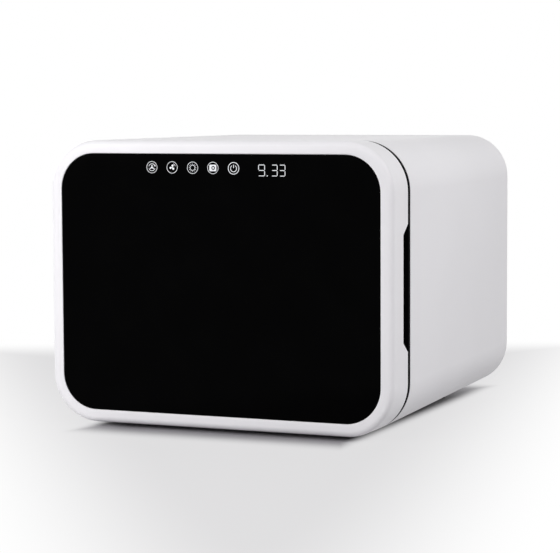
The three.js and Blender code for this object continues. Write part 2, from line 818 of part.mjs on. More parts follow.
function makeFilterCover() {
  const [xs, zs] = fanSquare(filterSize);
  const rimFrontY = coverFrontY - filterRim;
  const panel = block(xs, [coverFrontY, coverBackY], zs);
  const rim = squareTube(filterSize, filterPocketWall, [rimFrontY, coverFrontY + joinDepth]);
  const louvres = grilleSlots(filterSize - filterPocketWall * 8, filterSize - filterPocketWall * 6,
    [coverFrontY - overrun, coverBackY + overrun]);
  const grip = block(around(airX, filterGripWidth),
    [coverBackY - filterPocketWall / 2, coverBackY + overrun], [zs[1] - filterGripHeight, zs[1] + overrun]);
  return cut(join(panel, rim), ...louvres, grip);
}

function makeFilterPad() {
  const [xs, zs] = fanSquare(filterSize - (filterPocketWall + fitGap) * 2);
  return block(xs, [coverFrontY - fitGap - filterPadDepth, coverFrontY - fitGap], zs);
}

function makePowerInlet() {
  const frontY = coverBackY + inletFlangeThickness - inletDepth;
  const body = block(around(inletX, inletWidth), [frontY, coverBackY], around(inletZ, inletHeight));
  const flange = block(around(inletX, inletWidth + inletFlange * 2),
    [coverBackY, coverBackY + inletFlangeThickness], around(inletZ, inletHeight + inletFlange));
  const mouthY = coverBackY + inletFlangeThickness;
  const socketYs = [mouthY - inletSocketDepth, mouthY + overrun];
  const socket = acrossY(roundedShape(around(inletX, inletSocketWidth), around(inletZ, inletSocketHeight),
    inletSocketHeight / 2 - leastRadius), socketYs);
  const pins = [-1, 1].map((place) => rodY(inletX + place * inletPinSpread, inletZ, inletPinRadius,
    [socketYs[0] - joinDepth, socketYs[0] + inletPinLength], wireSides));
  return join(cut(join(body, flange), socket), ...pins);
}

// Boards: each is its panel with the larger parts soldered to it

// Transformer, heat sink and relay: centre across and up the board, width, height and depth
const boardBlockShares = [
  [-0.28, -0.1, 0.24, 0.28, 0.7], [0.1, 0.2, 0.12, 0.34, 0.65], [0.3, -0.3, 0.17, 0.17, 0.5],
];

// Two capacitors: centre across and up the board, radius as a share of its height, and depth
const boardCanShares = [[0.1, -0.22, 0.085, 0.65], [0.3, 0.12, 0.1, 0.7]];

function makePowerBoard() {
  const panel = block(around(boardX, powerBoardWidth), boardYs, around(boardZ, powerBoardHeight));
  const seatY = boardYs[0] + joinDepth;
  const acrossBoard = (share) => boardX + share * powerBoardWidth;
  const upBoard = (share) => boardZ + share * powerBoardHeight;
  const offBoard = (share) => [seatY - share * powerBoardStandoff, seatY];
  const blocks = boardBlockShares.map(([x, z, width, height, depth]) => block(
    around(acrossBoard(x), width * powerBoardWidth), offBoard(depth),
    around(upBoard(z), height * powerBoardHeight)));
  const cans = boardCanShares.map(([x, z, radius, depth]) =>
    rodY(acrossBoard(x), upBoard(z), radius * powerBoardHeight, offBoard(depth)));
  return join(panel, ...blocks, ...cans);
}

function makeBallast() {
  const seatY = coverFrontY - fitGap;
  const lowY = seatY - ballastDepth;
  const body = block(around(ballastX, ballastWidth), [lowY, seatY], around(ballastZ, ballastHeight));
  const lid = block(around(ballastX, ballastWidth - ballastCoverOverlap * 2),
    [lowY - ballastRidge, seatY - joinDepth], around(ballastZ, ballastHeight - ballastCoverOverlap));
  return join(body, lid);
}

// Door frame: hollow moulded ring, open at the back, that holds the glass in a rebate

function recessOutline(extra, backReach) {
  const end = gripLength / 2 + extra;
  const floor = doorBackY - gripDepth - extra;
  return outlineOf([
    [doorBackY + backReach, middleZ - end], [doorBackY - fitGap, middleZ - end],
    [floor, middleZ - end + gripEndSlope], [floor, middleZ + end - gripEndSlope],
    [doorBackY - fitGap, middleZ + end], [doorBackY + backReach, middleZ + end],
  ]);
}

function doorScrewPlaces() {
  const inset = (doorWall + doorChannelInset) / 2;
  return [[-1, 1], [1, 1], [-1, -1], [1, -1]].map(([x, up]) =>
    [x * doorScrewSpread, up > 0 ? topZ - inset : bottomZ + inset]);
}

// Room in the door's frame and liner for the hinge brackets and the finger grip
function doorPockets() {
  const slots = Object.values(hingeHeights).map((z) => block(
    [-halfWidth - overrun, bracketLeftX + bracketTongueWidth + fitGap * 2],
    [bracketY - bracketFrontClearance, doorBackY + overrun],
    around(z, bracketThickness + bracketSlotClearance * 2)));
  const grip = acrossX(recessOutline(gripWall + fitGap, overrun),
    [halfWidth - gripReach - gripWall - fitGap, halfWidth + overrun]);
  return [...slots, grip];
}

function makeDoorFrame() {
  const front = quarterRound(doorFrontRounding).map(([depth, inset]) => [frontY + depth, inset]);
  const channelY = frontY + bezelThickness;
  const ledgeY = glassBackY + fitGap;
  const profile = [
    ...front, [doorBackY, 0], [doorBackY, doorWall], [channelY, doorWall],
    [channelY, doorChannelInset], [doorChannelEndY, doorChannelInset], [doorChannelEndY, doorInnerInset],
    [ledgeY, doorInnerInset], [ledgeY, bezelWidth], [frontY, bezelWidth],
  ];
  const section = cabinetSection(frontY);
  const ringed = loft(profile.map(([y, inset]) => ring(y, section, inset)), true);
  const bosses = doorScrewPlaces().map(([x, z]) => rodY(x, z, screwBossRadius,
    [channelY - joinDepth, doorChannelEndY]));
  const bores = doorScrewPlaces().map(([x, z]) => countersunk(x, z, doorBackY, fitGap));
  const blocks = Object.values(hingeHeights).map((z) => block(
    [-halfWidth + doorWall / 2, -halfWidth + doorWall / 2 + hingeBlockWidth],
    [doorBackY - hingeBlockDepth, doorChannelEndY], around(z, hingeBlockHeight)));
  const pinBores = Object.values(hingeHeights).flatMap((z) => [
    rodZ(bracketX, bracketY, hingePinRadius + fitGap,
      [z - hingePinBelow - fitGap, z + hingePinAbove + fitGap]),
    rodZ(bracketX, bracketY, hingePinRadius + bushWall + fitGap * 2,
      [z, z + bracketThickness / 2 + bushLength + fitGap * 2]),
  ]);
  return cut(join(ringed, ...bosses, ...blocks), ...bores, ...pinBores, ...doorPockets());
}

function makeFingerGrip() {
  const innerX = halfWidth - gripReach;
  const outer = acrossX(recessOutline(gripWall, 0), [innerX - gripWall, halfWidth - gripSideInset]);
  const hollow = acrossX(recessOutline(0, overrun), [innerX, halfWidth + overrun]);
  return cut(outer, hollow);
}

function makeDoorGlass() {
  const section = cabinetSection(frontY);
  const inset = bezelWidth + fitGap;
  return loft([ring(glassFrontY, section, inset), ring(glassBackY, section, inset)]);
}

function makeDoorLiner() {
  const section = cabinetSection(frontY);
  const lowY = doorBackY - doorLinerThickness;
  const outer = doorWall + fitGap;
  const raised = doorLinerRaiseInset + doorLinerRaise;
  const panel = loft([
    ring(lowY, section, outer), ring(doorBackY, section, outer),
    ring(doorBackY, section, doorLinerRaiseInset), ring(doorBackY + doorLinerRaise, section, raised),
  ]);
  const bores = doorScrewPlaces().map(([x, z]) => countersunk(x, z, doorBackY, fitGap));
  return cut(panel, ...bores, ...doorPockets());
}

function makeDoorGasket() {
  const section = cabinetSection(frontY);
  const tipY = rimY - fitGap;
  const inner = gasketInset + gasketWidth;
  return loft([
    ring(doorBackY, section, gasketInset), ring(tipY, section, gasketInset + rimRounding),
    ring(tipY, section, inner - rimRounding), ring(doorBackY, section, inner),
  ], true);
}

// Touch board with its sprung pads, and the digit display, both against the glass

function makeTouchBoard() {
  const padFrontY = glassBackY + fitGap;
  const boardFrontY = padFrontY + displayDepth + fitGap;
  const xs = [
    -touchFirstOffset - touchPadRadius - touchBoardMargin,
    displayOffset + displayWidth / 2 + touchBoardMargin,
  ];
  const boardTopZ = glassTopZ - glassLedge - fitGap;
  const board = block(xs, [boardFrontY, boardFrontY + boardThickness],
    [boardTopZ - touchBoardHeight, boardTopZ]);
  const pads = Array.from({ length: touchCount }, (_, i) => rodY(i * touchPitch - touchFirstOffset,
    glassTopZ - touchDrop, touchPadRadius, [padFrontY, boardFrontY + joinDepth]));
  return join(board, ...pads);
}

function makeDisplay() {
  const front = glassBackY + fitGap;
  return block(around(displayOffset, displayWidth), [front, front + displayDepth],
    around(glassTopZ - displayDrop, displayHeight));
}

// Hinge parts

function makeHingeBracket(z) {
  const zs = around(z, bracketThickness);
  const plateFrontY = frameBackY + fitGap;
  const eye = rodZ(bracketX, bracketY, hingeEyeRadius, zs, smallSides * 2);
  const tongue = block([bracketLeftX, bracketLeftX + bracketTongueWidth],
    [bracketY, plateFrontY + bracketPlateThickness], zs);
  const plate = block([bracketLeftX, bracketLeftX + bracketPlateWidth],
    [plateFrontY, plateFrontY + bracketPlateThickness], around(z, bracketPlateHeight));
  const bore = rodZ(bracketX, bracketY, hingePinRadius + fitGap, [zs[0] - overrun, zs[1] + overrun]);
  return cut(join(eye, tongue, plate), bore);
}

function makeHingePin(z) {
  return rodZ(bracketX, bracketY, hingePinRadius, [z - hingePinBelow, z + hingePinAbove]);
}

function makeHingeBush(z) {
  const low = z + bracketThickness / 2 + fitGap;
  const high = low + bushLength;
  const radius = hingePinRadius + fitGap;
  const outer = rodZ(bracketX, bracketY, radius + bushWall, [low, high]);
  return cut(outer, rodZ(bracketX, bracketY, radius, [low - overrun, high + overrun]));
}

function addCabinet() {
  add("outer_shell", makeOuterShell(), finishes.white);
  add("front_frame", makeFrontFrame(), finishes.darkPlastic);
  add("chamber_liner", makeChamberLiner(), finishes.steel);
  add("rear_cover", makeRearCover(), finishes.white);
  for (const [place, spot] of Object.entries(footPlaces())) {
    add(`foot_${place}`, makeFoot(spot), finishes.rubber);
  }
  rearScrewPlaces().forEach(([x, z], i) => {
    add(`rear_screw_${i + 1}`, countersunk(x, z, coverBackY), finishes.steel);
  });
}

function addChamberFittings() {
  add("rack_rail_left", makeRail(-1), finishes.steel);
  add("rack_rail_right", makeRail(1), finishes.steel);
  add("upper_rack", makeRack(ledgeZs.upper), finishes.steel);
  add("lower_rack", makeRack(ledgeZs.lower), finishes.steel);
  addLamp("top", new THREE.Vector3(0, (frameBackY + chamberBackY) / 2, chamberRoofZ - fitGap), 0);
  addLamp("rear", new THREE.Vector3(0, chamberBackY - fitGap, chamberRoofZ - rearLampDrop), -Math.PI / 2);
}

function addMachinery() {
  const frameSize = fanSize - (ductWall + fitGap) * 2;
  add("air_duct", squareTube(fanSize, ductWall, ductYs), finishes.greyPlastic);
  add("heater_frame", squareTube(frameSize, heaterFrameWall, heaterYs), finishes.nylon);
  add("heater_core", makeHeaterCore(), finishes.aluminium);
  add("fan_housing", makeFanHousing(), finishes.darkPlastic);
  add("fan_motor", makeFanMotor(), finishes.aluminium);
  add("fan_rotor", makeFanRotor(), finishes.darkPlastic);
  const cutoutZ = airZ + fanSize / 2 + fitGap;
  const cutoutY = (heaterYs[0] + heaterYs[1]) / 2;
  add("thermal_cutout", rodZ(airX, cutoutY, cutoutRadius, [cutoutZ, cutoutZ + cutoutHeight]),
    finishes.aluminium);
  add("filter_cover", makeFilterCover(), finishes.white);
  add("filter_pad", makeFilterPad(), finishes.foam);
  add("power_board", makePowerBoard(), finishes.board);
  add("lamp_ballast", makeBallast(), finishes.greyPlastic);
  add("power_inlet", makePowerInlet(), finishes.darkPlastic);
}

function addCatchAndHinges() {
  const magnetX1 = halfWidth - doorWall - fitGap;
  for (const [place, z] of Object.entries(catchHeights)) {
    add(`${place}_strike_plate`, block(around(strikeX, strikeWidth), [rimY, rimY + strikeThickness],
      around(z, strikeLength)), finishes.steel);
    add(`${place}_magnet`, block([magnetX1 - magnetWidth, magnetX1],
      [doorChannelEndY - magnetThickness, doorChannelEndY], around(z, magnetLength)), finishes.darkPlastic);
  }
  const sensorFrontY = rimY + rimRounding + fitGap;
  add("door_sensor", block(around(strikeX, sensorWidth), [sensorFrontY, sensorFrontY + sensorDepth],
    around(sensorZ, sensorHeight)), finishes.darkPlastic);
  for (const [place, z] of Object.entries(hingeHeights)) {
    add(`${place}_hinge_bracket`, makeHingeBracket(z), finishes.steel);
    add(`${place}_hinge_pin`, makeHingePin(z), finishes.steel);
    add(`${place}_hinge_bush`, makeHingeBush(z), finishes.nylon);
  }
}

function addDoor() {
  add("door_frame", makeDoorFrame(), finishes.white);
  add("door_glass", makeDoorGlass(), finishes.blackGlass);
  add("door_liner", makeDoorLiner(), finishes.greyPlastic);
  add("door_gasket", makeDoorGasket(), finishes.rubber);
  add("finger_grip", makeFingerGrip(), finishes.darkPlastic);
  add("touch_board", makeTouchBoard(), finishes.board);
  add("display_module", makeDisplay(), finishes.darkPlastic);
  doorScrewPlaces().forEach(([x, z], i) => {
    add(`door_screw_${i + 1}`, countersunk(x, z, doorBackY), finishes.steel);
  });
}

addCabinet();
addChamberFittings();
addMachinery();
addCatchAndHinges();
addDoor();

export default box;
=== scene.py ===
"""Looks of the ultraviolet sterilizer box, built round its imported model.

Sizes are in millimetres and become metres where a mesh is made. The door faces -Y, +Z is up and the
origin is on the floor under the middle of the box.
"""
import json
import math

import bmesh
import bpy
from mathutils import Matrix, Vector


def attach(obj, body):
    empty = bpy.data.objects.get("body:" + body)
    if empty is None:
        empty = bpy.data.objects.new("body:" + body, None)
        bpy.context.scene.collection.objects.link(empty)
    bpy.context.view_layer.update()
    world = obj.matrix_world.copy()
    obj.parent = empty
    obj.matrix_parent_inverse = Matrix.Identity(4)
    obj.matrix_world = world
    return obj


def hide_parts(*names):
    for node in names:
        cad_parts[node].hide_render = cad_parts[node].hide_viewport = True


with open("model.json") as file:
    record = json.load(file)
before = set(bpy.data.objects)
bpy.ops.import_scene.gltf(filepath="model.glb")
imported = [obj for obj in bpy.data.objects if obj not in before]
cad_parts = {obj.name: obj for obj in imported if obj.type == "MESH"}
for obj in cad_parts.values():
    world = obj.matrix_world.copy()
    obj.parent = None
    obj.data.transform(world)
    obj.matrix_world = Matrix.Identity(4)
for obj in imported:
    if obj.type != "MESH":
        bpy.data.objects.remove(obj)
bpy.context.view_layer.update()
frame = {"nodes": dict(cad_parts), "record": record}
scene = bpy.context.scene

MM = 0.001

# ---- the box's main places ----
# Half the width, the top, the underside's height in front, and how far it climbs to the back.
HALF, TOP, FLOOR_GAP, BOTTOM_RISE = 187.0, 292.0, 4.0, 11.0
# Depths of the door, of the back, and of the frame and the casing's rim behind the door.
FRONT_Y, DOOR_BACK_Y, BACK_Y = -186.0, -144.0, 186.0
FRAME_Y, SHELL_RIM_Y, FRAME_BACK_Y = -141.0, -136.5, -133.0
# The casing: its corners' radii in front and behind, its wall, and the gap of a loose fit.
FRONT_RADIUS, REAR_RADIUS, SHELL_WALL, FIT = 50.0, 46.0, 3.0, 0.3
CORNER_STEPS = 20
# The back's plate, and how far its opening lies inside the casing's outline.
COVER_FRONT_Y, COVER_BACK_Y, COVER_INSET = 182.5, 185.0, 8.0
# The door's bezel and glass.
BEZEL, GLASS_FRONT_Y, GLASS_BACK_Y = 13.0, -185.6, -181.6
GLASS_INSET = BEZEL + FIT
# The chamber: half its width, its floor, ceiling, corners and back.
CHAMBER_HALF, CHAMBER_LOW, CHAMBER_HIGH, CHAMBER_RADIUS = 156.0, 28.0, 262.0, 20.0
CHAMBER_BACK_Y = 118.0
# The hinges, the middle of the finger recess, and the catch with its sensor.
HINGE_HEIGHTS, MIDDLE_Z = (232.0, 64.0), 148.0
CATCH_X, SENSOR_Z = 175.5, 200.0
# In the back: the air filter, the vents, a board's posts and the lead's inlet.
AIR_X, AIR_Z, FILTER_SIDE = -92.0, 86.0, 76.0
VENT_X, VENT_Z = 97.0, 132.0
BOARD_X, BOARD_Z = 69.0, 126.0
INLET_X, INLET_Z, INLET_WIDTH, INLET_HEIGHT = 127.0, 42.0, 24.0, 17.0
# Feet, screws, and the bosses that take the screws.
FEET = {"front_left": (-121, -107), "front_right": (121, -107),
        "rear_left": (-121, 136), "rear_right": (121, 136)}
FOOT_RADIUS, FOOT_SET = 9.0, 1.0
DOOR_SCREWS = ((-110, 285), (110, 285), (-110, 11), (110, 11))
REAR_SCREW_INSET, SCREW_BORE, SCREW_HEAD, BOSS_RADIUS = 13.0, 1.8, 3.7, 5.6


# ---- camera: degrees, metres, and millimetres for its lens and sensor ----
CAMERA_YAW, CAMERA_PITCH, CAMERA_ROLL = 23.418, 4.730, -0.270
CAMERA_PLACE = (0.8776, -2.0528, 0.3277)
CAMERA_LENS, CAMERA_SENSOR = 134.03, 36


def aim_camera():
    """The photo's viewpoint, from a fit of the built sizes to its outlines."""
    yaw, pitch, roll = (math.radians(turn) for turn in (CAMERA_YAW, CAMERA_PITCH, CAMERA_ROLL))
    flat = math.cos(pitch)
    ahead = Vector((-math.sin(yaw) * flat, math.cos(yaw) * flat, -math.sin(pitch)))
    level = Vector((math.cos(yaw), math.sin(yaw), 0))
    upright = level.cross(ahead)
    right = level * math.cos(roll) + upright * math.sin(roll)
    up = upright * math.cos(roll) - level * math.sin(roll)
    data = bpy.data.cameras.new("camera")
    data.sensor_width, data.lens = CAMERA_SENSOR, CAMERA_LENS
    camera = bpy.data.objects.new("camera", data)
    camera.matrix_world = Matrix((*zip(right, up, -ahead, CAMERA_PLACE), (0, 0, 0, 1)))
    scene.collection.objects.link(camera)
    scene.camera = camera


aim_camera()


# ---- finishes ----
class Value:
    """The output of a shader node. Plain arithmetic on it adds Math nodes."""

    def __init__(self, shading, socket):
        self.shading, self.socket = shading, socket

    def __add__(self, other):
        return self.shading.math("ADD", self, other)

    def __radd__(self, other):
        return self.shading.math("ADD", other, self)

    def __sub__(self, other):
        return self.shading.math("SUBTRACT", self, other)

    def __rsub__(self, other):
        return self.shading.math("SUBTRACT", other, self)

    def __mul__(self, other):
        return self.shading.math("MULTIPLY", self, other)

    def __rmul__(self, other):
        return self.shading.math("MULTIPLY", other, self)


class Shading:
    """The nodes of a material or of the world."""

    def __init__(self, owner):
        owner.use_nodes = True
        self.tree = owner.node_tree
        self.tree.nodes.clear()

    def node(self, kind, settings=None, inputs=None, output=0):
        """A node as the value of one of its outputs, or the node itself."""
        made = self.tree.nodes.new("ShaderNode" + kind)
        for key, value in (settings or {}).items():
            setattr(made, key, value)
        for key, value in (inputs or {}).items():
            self.feed(made.inputs[key], value)
        return Value(self, made.outputs[output]) if output is not None else made

    def feed(self, socket, value):
        if isinstance(value, Value):
            self.tree.links.new(value.socket, socket)
        else:
            socket.default_value = value

    def math(self, operation, first, second=0.0):
        return self.node("Math", {"operation": operation}, {0: first, 1: second})

    def rays(self):
        """Whether the ray comes from the camera, by a gloss or through glass."""
        path = self.node("LightPath", output=None)
        return [Value(self, path.outputs["Is %s Ray" % kind])
                for kind in ("Camera", "Glossy", "Transmission")]


class Finish(Shading):
    """A material with one shader: its constants are set there, and its patterns are linked."""

    def __init__(self, name, **constants):
        self.material = bpy.data.materials.new(name)
        super().__init__(self.material)
        self.shader = self.node("BsdfPrincipled")
        self.paint(**constants)
        self.output = self.node("OutputMaterial", inputs={"Surface": self.shader}, output=None)
        self.place = self.node("TexCoord", output="Object")

    def noise(self, scale, detail, stretch=(1, 1, 1), roughness=0.5):
        """Noise over the piece, which is scaled along each axis first."""
        place = self.node("VectorMath", {"operation": "MULTIPLY"}, {0: self.place, 1: stretch})
        return self.node("TexNoise", inputs={
            "Vector": place, "Scale": scale, "Detail": detail, "Roughness": roughness})

    def spread(self, value, low, high, to_low=0.0, to_high=1.0, smooth=True):
        """A value's range from low to high, spread over another range and held at its ends."""
        settings = {"interpolation_type": "SMOOTHSTEP" if smooth else "LINEAR", "clamp": True}
        return self.node("MapRange", settings, {
            "Value": value, "From Min": low, "From Max": high, "To Min": to_low, "To Max": to_high})

    def blend(self, factor, first, second):
        """A colour between two colours."""
        return self.node("Mix", {"data_type": "RGBA"}, {0: factor, 6: first, 7: second}, output=2)

    def paint(self, **looks):
        """Sets or links the shader's inputs, with underscores for the spaces in their names."""
        shader = self.shader.socket.node
        for key, value in looks.items():
            self.feed(shader.inputs[key.replace("_", " ")], value)
        return self

    def bump(self, height, strength, distance):
        """Fine relief: distance is its depth in metres."""
        inputs = {"Height": height, "Strength": strength, "Distance": distance}
        return self.paint(Normal=self.node("Bump", inputs=inputs))


def rgb(red, green, blue):
    return red, green, blue, 1.0


WHITE = rgb(1, 1, 1)


def moulded(name, light, dark, roughness, grain, relief, sheen):
    """Moulded plastic: slow tone drift, and a surface grain of its own scale and depth."""
    finish = Finish(name, Specular_IOR_Level=sheen)
    drift = finish.noise(14, 3)
    texture = finish.noise(grain, 2, roughness=0.6)
    finish.paint(
        Base_Color=finish.blend(finish.spread(drift, 0.3, 0.7), dark, light),
        Roughness=finish.spread(texture, 0.25, 0.75, roughness - 0.05, roughness + 0.06))
    return finish.bump(texture, 0.35, relief)


def brushed(name, light, dark, roughness, relief, scale, stretch):
    """Rolled or brushed metal, with long fine lines and faint clouds."""
    finish = Finish(name, Metallic=1.0)
    lines = finish.noise(scale, 4, stretch, 0.65)
    clouds = finish.noise(9, 3)
    tone = lines * 0.6 + clouds * 0.4
    finish.paint(
        Base_Color=finish.blend(finish.spread(tone, 0.3, 0.7), dark, light),
        Roughness=finish.spread(lines, 0.2, 0.8, roughness - 0.07, roughness + 0.1))
    return finish.bump(lines, 0.25, relief)


# Light and dark tone, roughness, scale of the grain, its depth in metres, and sheen.
PLASTICS = {
    "dark_plastic": (rgb(0.016, 0.016, 0.018), rgb(0.011, 0.011, 0.012), 0.55, 1400, 0.00006, 0.3),
    # Near black with hardly any sheen: a dark plastic that also paints the shade in the seam round
    # the door and in the finger recess.
    "shade_black_plastic": (
        rgb(0.003, 0.003, 0.0035), rgb(0.002, 0.002, 0.0025), 0.75, 1400, 0.00005, 0.02),
    "grey_plastic": (rgb(0.58, 0.585, 0.6), rgb(0.53, 0.535, 0.555), 0.42, 900, 0.00005, 0.5),
    "ivory_plastic": (rgb(0.79, 0.76, 0.68), rgb(0.72, 0.69, 0.61), 0.45, 900, 0.00004, 0.5),
    "black_rubber": (rgb(0.022, 0.022, 0.023), rgb(0.015, 0.015, 0.016), 0.82, 700, 0.00012, 0.2),
    "ferrite": (rgb(0.075, 0.075, 0.08), rgb(0.045, 0.045, 0.05), 0.6, 1100, 0.0001, 0.5),
}
# Light and dark tone, roughness, depth of the lines in metres, their scale, and their stretch.
METALS = {
    "stainless": (
        rgb(0.66, 0.665, 0.68), rgb(0.57, 0.575, 0.59), 0.27, 0.00001, 900, (0.03, 0.03, 1)),
    "wire_steel": (rgb(0.72, 0.725, 0.74), rgb(0.6, 0.605, 0.62), 0.16, 0.00002, 500, (1, 1, 1)),
    "plated_steel": (rgb(0.6, 0.61, 0.63), rgb(0.46, 0.47, 0.5), 0.3, 0.00003, 600, (1, 1, 1)),
    "reflector": (rgb(0.88, 0.89, 0.91), rgb(0.78, 0.79, 0.81), 0.12, 0.00001, 220, (0.04, 1, 1)),
    "aluminium": (rgb(0.7, 0.71, 0.73), rgb(0.56, 0.57, 0.59), 0.32, 0.00003, 220, (1, 0.05, 1)),
}


def white_gloss(name):
    """White moulded plastic with a satin gloss and a faint ripple."""
    white = Finish(name, Coat_Weight=0.05, Coat_Roughness=0.12, Specular_IOR_Level=0.2)
    ripple = white.noise(260, 1)
    drift = white.spread(white.noise(5, 2), 0.3, 0.7)
    white.paint(Base_Color=white.blend(drift, rgb(0.86, 0.847, 0.87), rgb(0.89, 0.877, 0.9)),
                Roughness=white.spread(ripple, 0.3, 0.7, 0.33, 0.4))
    return white.bump(ripple, 0.12, 0.00003)


def black_glass(name):
    pane = Finish(name, Specular_IOR_Level=0.02, IOR=1.5)
    haze = pane.noise(22, 4)
    tone = pane.spread(haze, 0.35, 0.75)
    return pane.paint(
        Base_Color=pane.blend(tone, rgb(0.0001, 0.0001, 0.0002), rgb(0.0004, 0.0004, 0.0005)),
        Roughness=pane.spread(haze, 0.35, 0.8, 0.03, 0.07))


def quartz_glass(name):
    """Thin clear glass of a lamp's tube, with faint streaks along it."""
    quartz = Finish(name, Alpha=0.34, IOR=1.46, Specular_IOR_Level=0.7)
    streaks = quartz.noise(60, 3, (0.3, 1, 1))
    tone = quartz.spread(streaks, 0.3, 0.7)
    return quartz.paint(
        Base_Color=quartz.blend(tone, rgb(0.82, 0.87, 0.93), rgb(0.92, 0.95, 0.99)),
        Roughness=quartz.spread(streaks, 0.3, 0.7, 0.03, 0.1))


def circuit_board(name):
    """Green lacquer over a fibre weave, with raised traces."""
    board = Finish(name, Specular_IOR_Level=0.5)
    cells = board.node("TexVoronoi", {"feature": "DISTANCE_TO_EDGE", "distance": "MANHATTAN"},
                       {"Vector": board.place, "Scale": 150.0})
    trace = board.spread(cells, 0.06, 0.1)
    weave = board.noise(900, 1)
    board.paint(Base_Color=board.blend(trace, rgb(0.035, 0.19, 0.075), rgb(0.014, 0.085, 0.035)),
                Roughness=board.spread(weave, 0.3, 0.7, 0.32, 0.42))
    return board.bump(trace + weave * 0.2, 0.3, 0.00005)


def filter_foam(name):
    """Open foam, with painted shade that makes it dark in its pores."""
    foam = Finish(name, Specular_IOR_Level=0.15)
    pores = foam.node("TexVoronoi", inputs={"Vector": foam.place, "Scale": 520.0})
    # Painted shade: darkest in the middle of each pore.
    tone = foam.spread(pores, 0.1, 0.6)
    foam.paint(Base_Color=foam.blend(tone, rgb(0.02, 0.02, 0.022), rgb(0.11, 0.112, 0.12)),
               Roughness=foam.spread(pores, 0.1, 0.6, 0.9, 1.0))
    return foam.bump(pores, 0.9, 0.0005)


def lit_signs(name):
    lit = Finish(name, Emission_Strength=0.5)
    glow = lit.noise(700, 1)
    tone = lit.spread(glow, 0.3, 0.7)
    return lit.paint(
        Base_Color=lit.blend(tone, rgb(0.3, 0.31, 0.33), rgb(0.38, 0.39, 0.41)),
        Emission_Color=lit.blend(tone, rgb(0.86, 0.88, 0.92), WHITE),
        Roughness=lit.spread(glow, 0.3, 0.7, 0.4, 0.5))


def make_finishes():
    made = {name: moulded(name, *look) for name, look in PLASTICS.items()}
    made.update((name, brushed(name, *look)) for name, look in METALS.items())
    own = {"white_gloss": white_gloss, "black_glass": black_glass, "quartz": quartz_glass,
           "circuit_board": circuit_board, "filter_foam": filter_foam, "lit_signs": lit_signs}
    made.update((name, make(name)) for name, make in own.items())
    return made


finishes = make_finishes()
record_slots = {node["node"]: node["material_slot"] for node in frame["record"]["subparts"]}


# ---- solids as lists of points and faces ----
def loft(rings, closed=False):
    """Skin over rings of as many points each. Its ends are flat unless it closes on itself."""
    count = len(rings[0])
    points = [point for ring in rings for point in ring]
    faces = []
    for i in range(len(rings) if closed else len(rings) - 1):
        near, far = i * count, (i + 1) % len(rings) * count
        for j in range(count):
            k = (j + 1) % count
            faces.append((near + j, near + k, far + k, far + j))
    if not closed:
        faces += [tuple(reversed(range(count))), tuple(range(len(points) - count, len(points)))]
    return points, faces


def gathered(*solids):
    """Several solids in one list."""
    points, faces = [], []
    for more_points, more_faces in solids:
        faces += [tuple(i + len(points) for i in face) for face in more_faces]
        points += more_points
    return points, faces


def moved(solid, change):
    return [tuple(change(*point)) for point in solid[0]], solid[1]


def shifted(solid, x, y, z):
    return moved(solid, lambda a, b, c: (a + x, b + y, c + z))


STAND = {
    "x": lambda a, b, c: (c, a, b),
    "y": lambda a, b, c: (b, c, a),
    "z": lambda a, b, c: (a, b, c),
}


def lathe(profile, axis, x, y, z, sides, closed=False):
    """A profile of radius and place along the axis, turned about that axis through a point."""
    turns = [math.tau * i / sides for i in range(sides)]
    rings = [[(r * math.cos(t), r * math.sin(t), along) for t in turns] for r, along in profile]
    return shifted(moved(loft(rings, closed), STAND[axis]), x, y, z)


def drawn(outline, ys):
    """An outline in x and z, drawn out along y."""
    return loft([[(x, y, z) for x, z in outline] for y in ys])


def brick(xs, ys, zs):
    return drawn([(xs[0], zs[0]), (xs[1], zs[0]), (xs[1], zs[1]), (xs[0], zs[1])], ys)


def around(centre, size):
    """The two ends of a size about its middle."""
    return centre - size / 2, centre + size / 2


def arc(y, inset, radius, start, end, steps=6):
    """A rounding in a profile, about a centre, from one angle to another in degrees."""
    angles = [math.radians(start + (end - start) * i / steps) for i in range(steps + 1)]
    return [(y + radius * math.cos(a), inset + radius * math.sin(a)) for a in angles]


def rounded(xs, zs, radius, steps=CORNER_STEPS):
    """A rounded rectangle as (x, z) pairs."""
    reach = ((xs[1] - radius, zs[1] - radius), (xs[0] + radius, zs[1] - radius),
             (xs[0] + radius, zs[0] + radius), (xs[1] - radius, zs[0] + radius))
    outline = []
    for quarter, (x, z) in enumerate(reach):
        for step in range(steps + 1):
            angle = (quarter + step / steps) * math.pi / 2
            outline.append((x + radius * math.cos(angle), z + radius * math.sin(angle)))
    return outline


def plate(x, z, width, height, radius, steps=6):
    """A rounded rectangle about its middle."""
    return rounded(around(x, width), around(z, height), radius, steps)


def bottom_at(y):
    """The height of the box's underside, which climbs towards the back."""
    return FLOOR_GAP + BOTTOM_RISE * min(max((y - FRAME_Y) / (BACK_Y - FRAME_Y), 0), 1)


def box_ring(y, inset):
    """The box's outline at a depth, drawn in by an inset."""
    share = (bottom_at(y) - FLOOR_GAP) / BOTTOM_RISE
    radius = FRONT_RADIUS + (REAR_RADIUS - FRONT_RADIUS) * share - inset
    outline = rounded((inset - HALF, HALF - inset), (bottom_at(y) + inset, TOP - inset), radius)
    return [(x, y, z) for x, z in outline]


def chamber_ring(y, inset):
    """The chamber's outline at a depth, drawn in by an inset."""
    outline = rounded((inset - CHAMBER_HALF, CHAMBER_HALF - inset),
                      (CHAMBER_LOW + inset, CHAMBER_HIGH - inset), CHAMBER_RADIUS - inset)
    return [(x, y, z) for x, z in outline]


def slab(outline, y0, y1, edge):
    """An outline in x and z, thick along y, with its rims a little rounded by a second ring."""
    mid_x, mid_z = (sum(values) / len(values) for values in zip(*outline))
    size = max(max(abs(x - mid_x), abs(z - mid_z)) for x, z in outline)
    share = 1 - edge / size
    small = [(mid_x + (x - mid_x) * share, mid_z + (z - mid_z) * share) for x, z in outline]
    rings = [(small, y0), (outline, y0 + edge), (outline, y1 - edge), (small, y1)]
    return loft([[(x, y, z) for x, z in shape] for shape, y in rings])


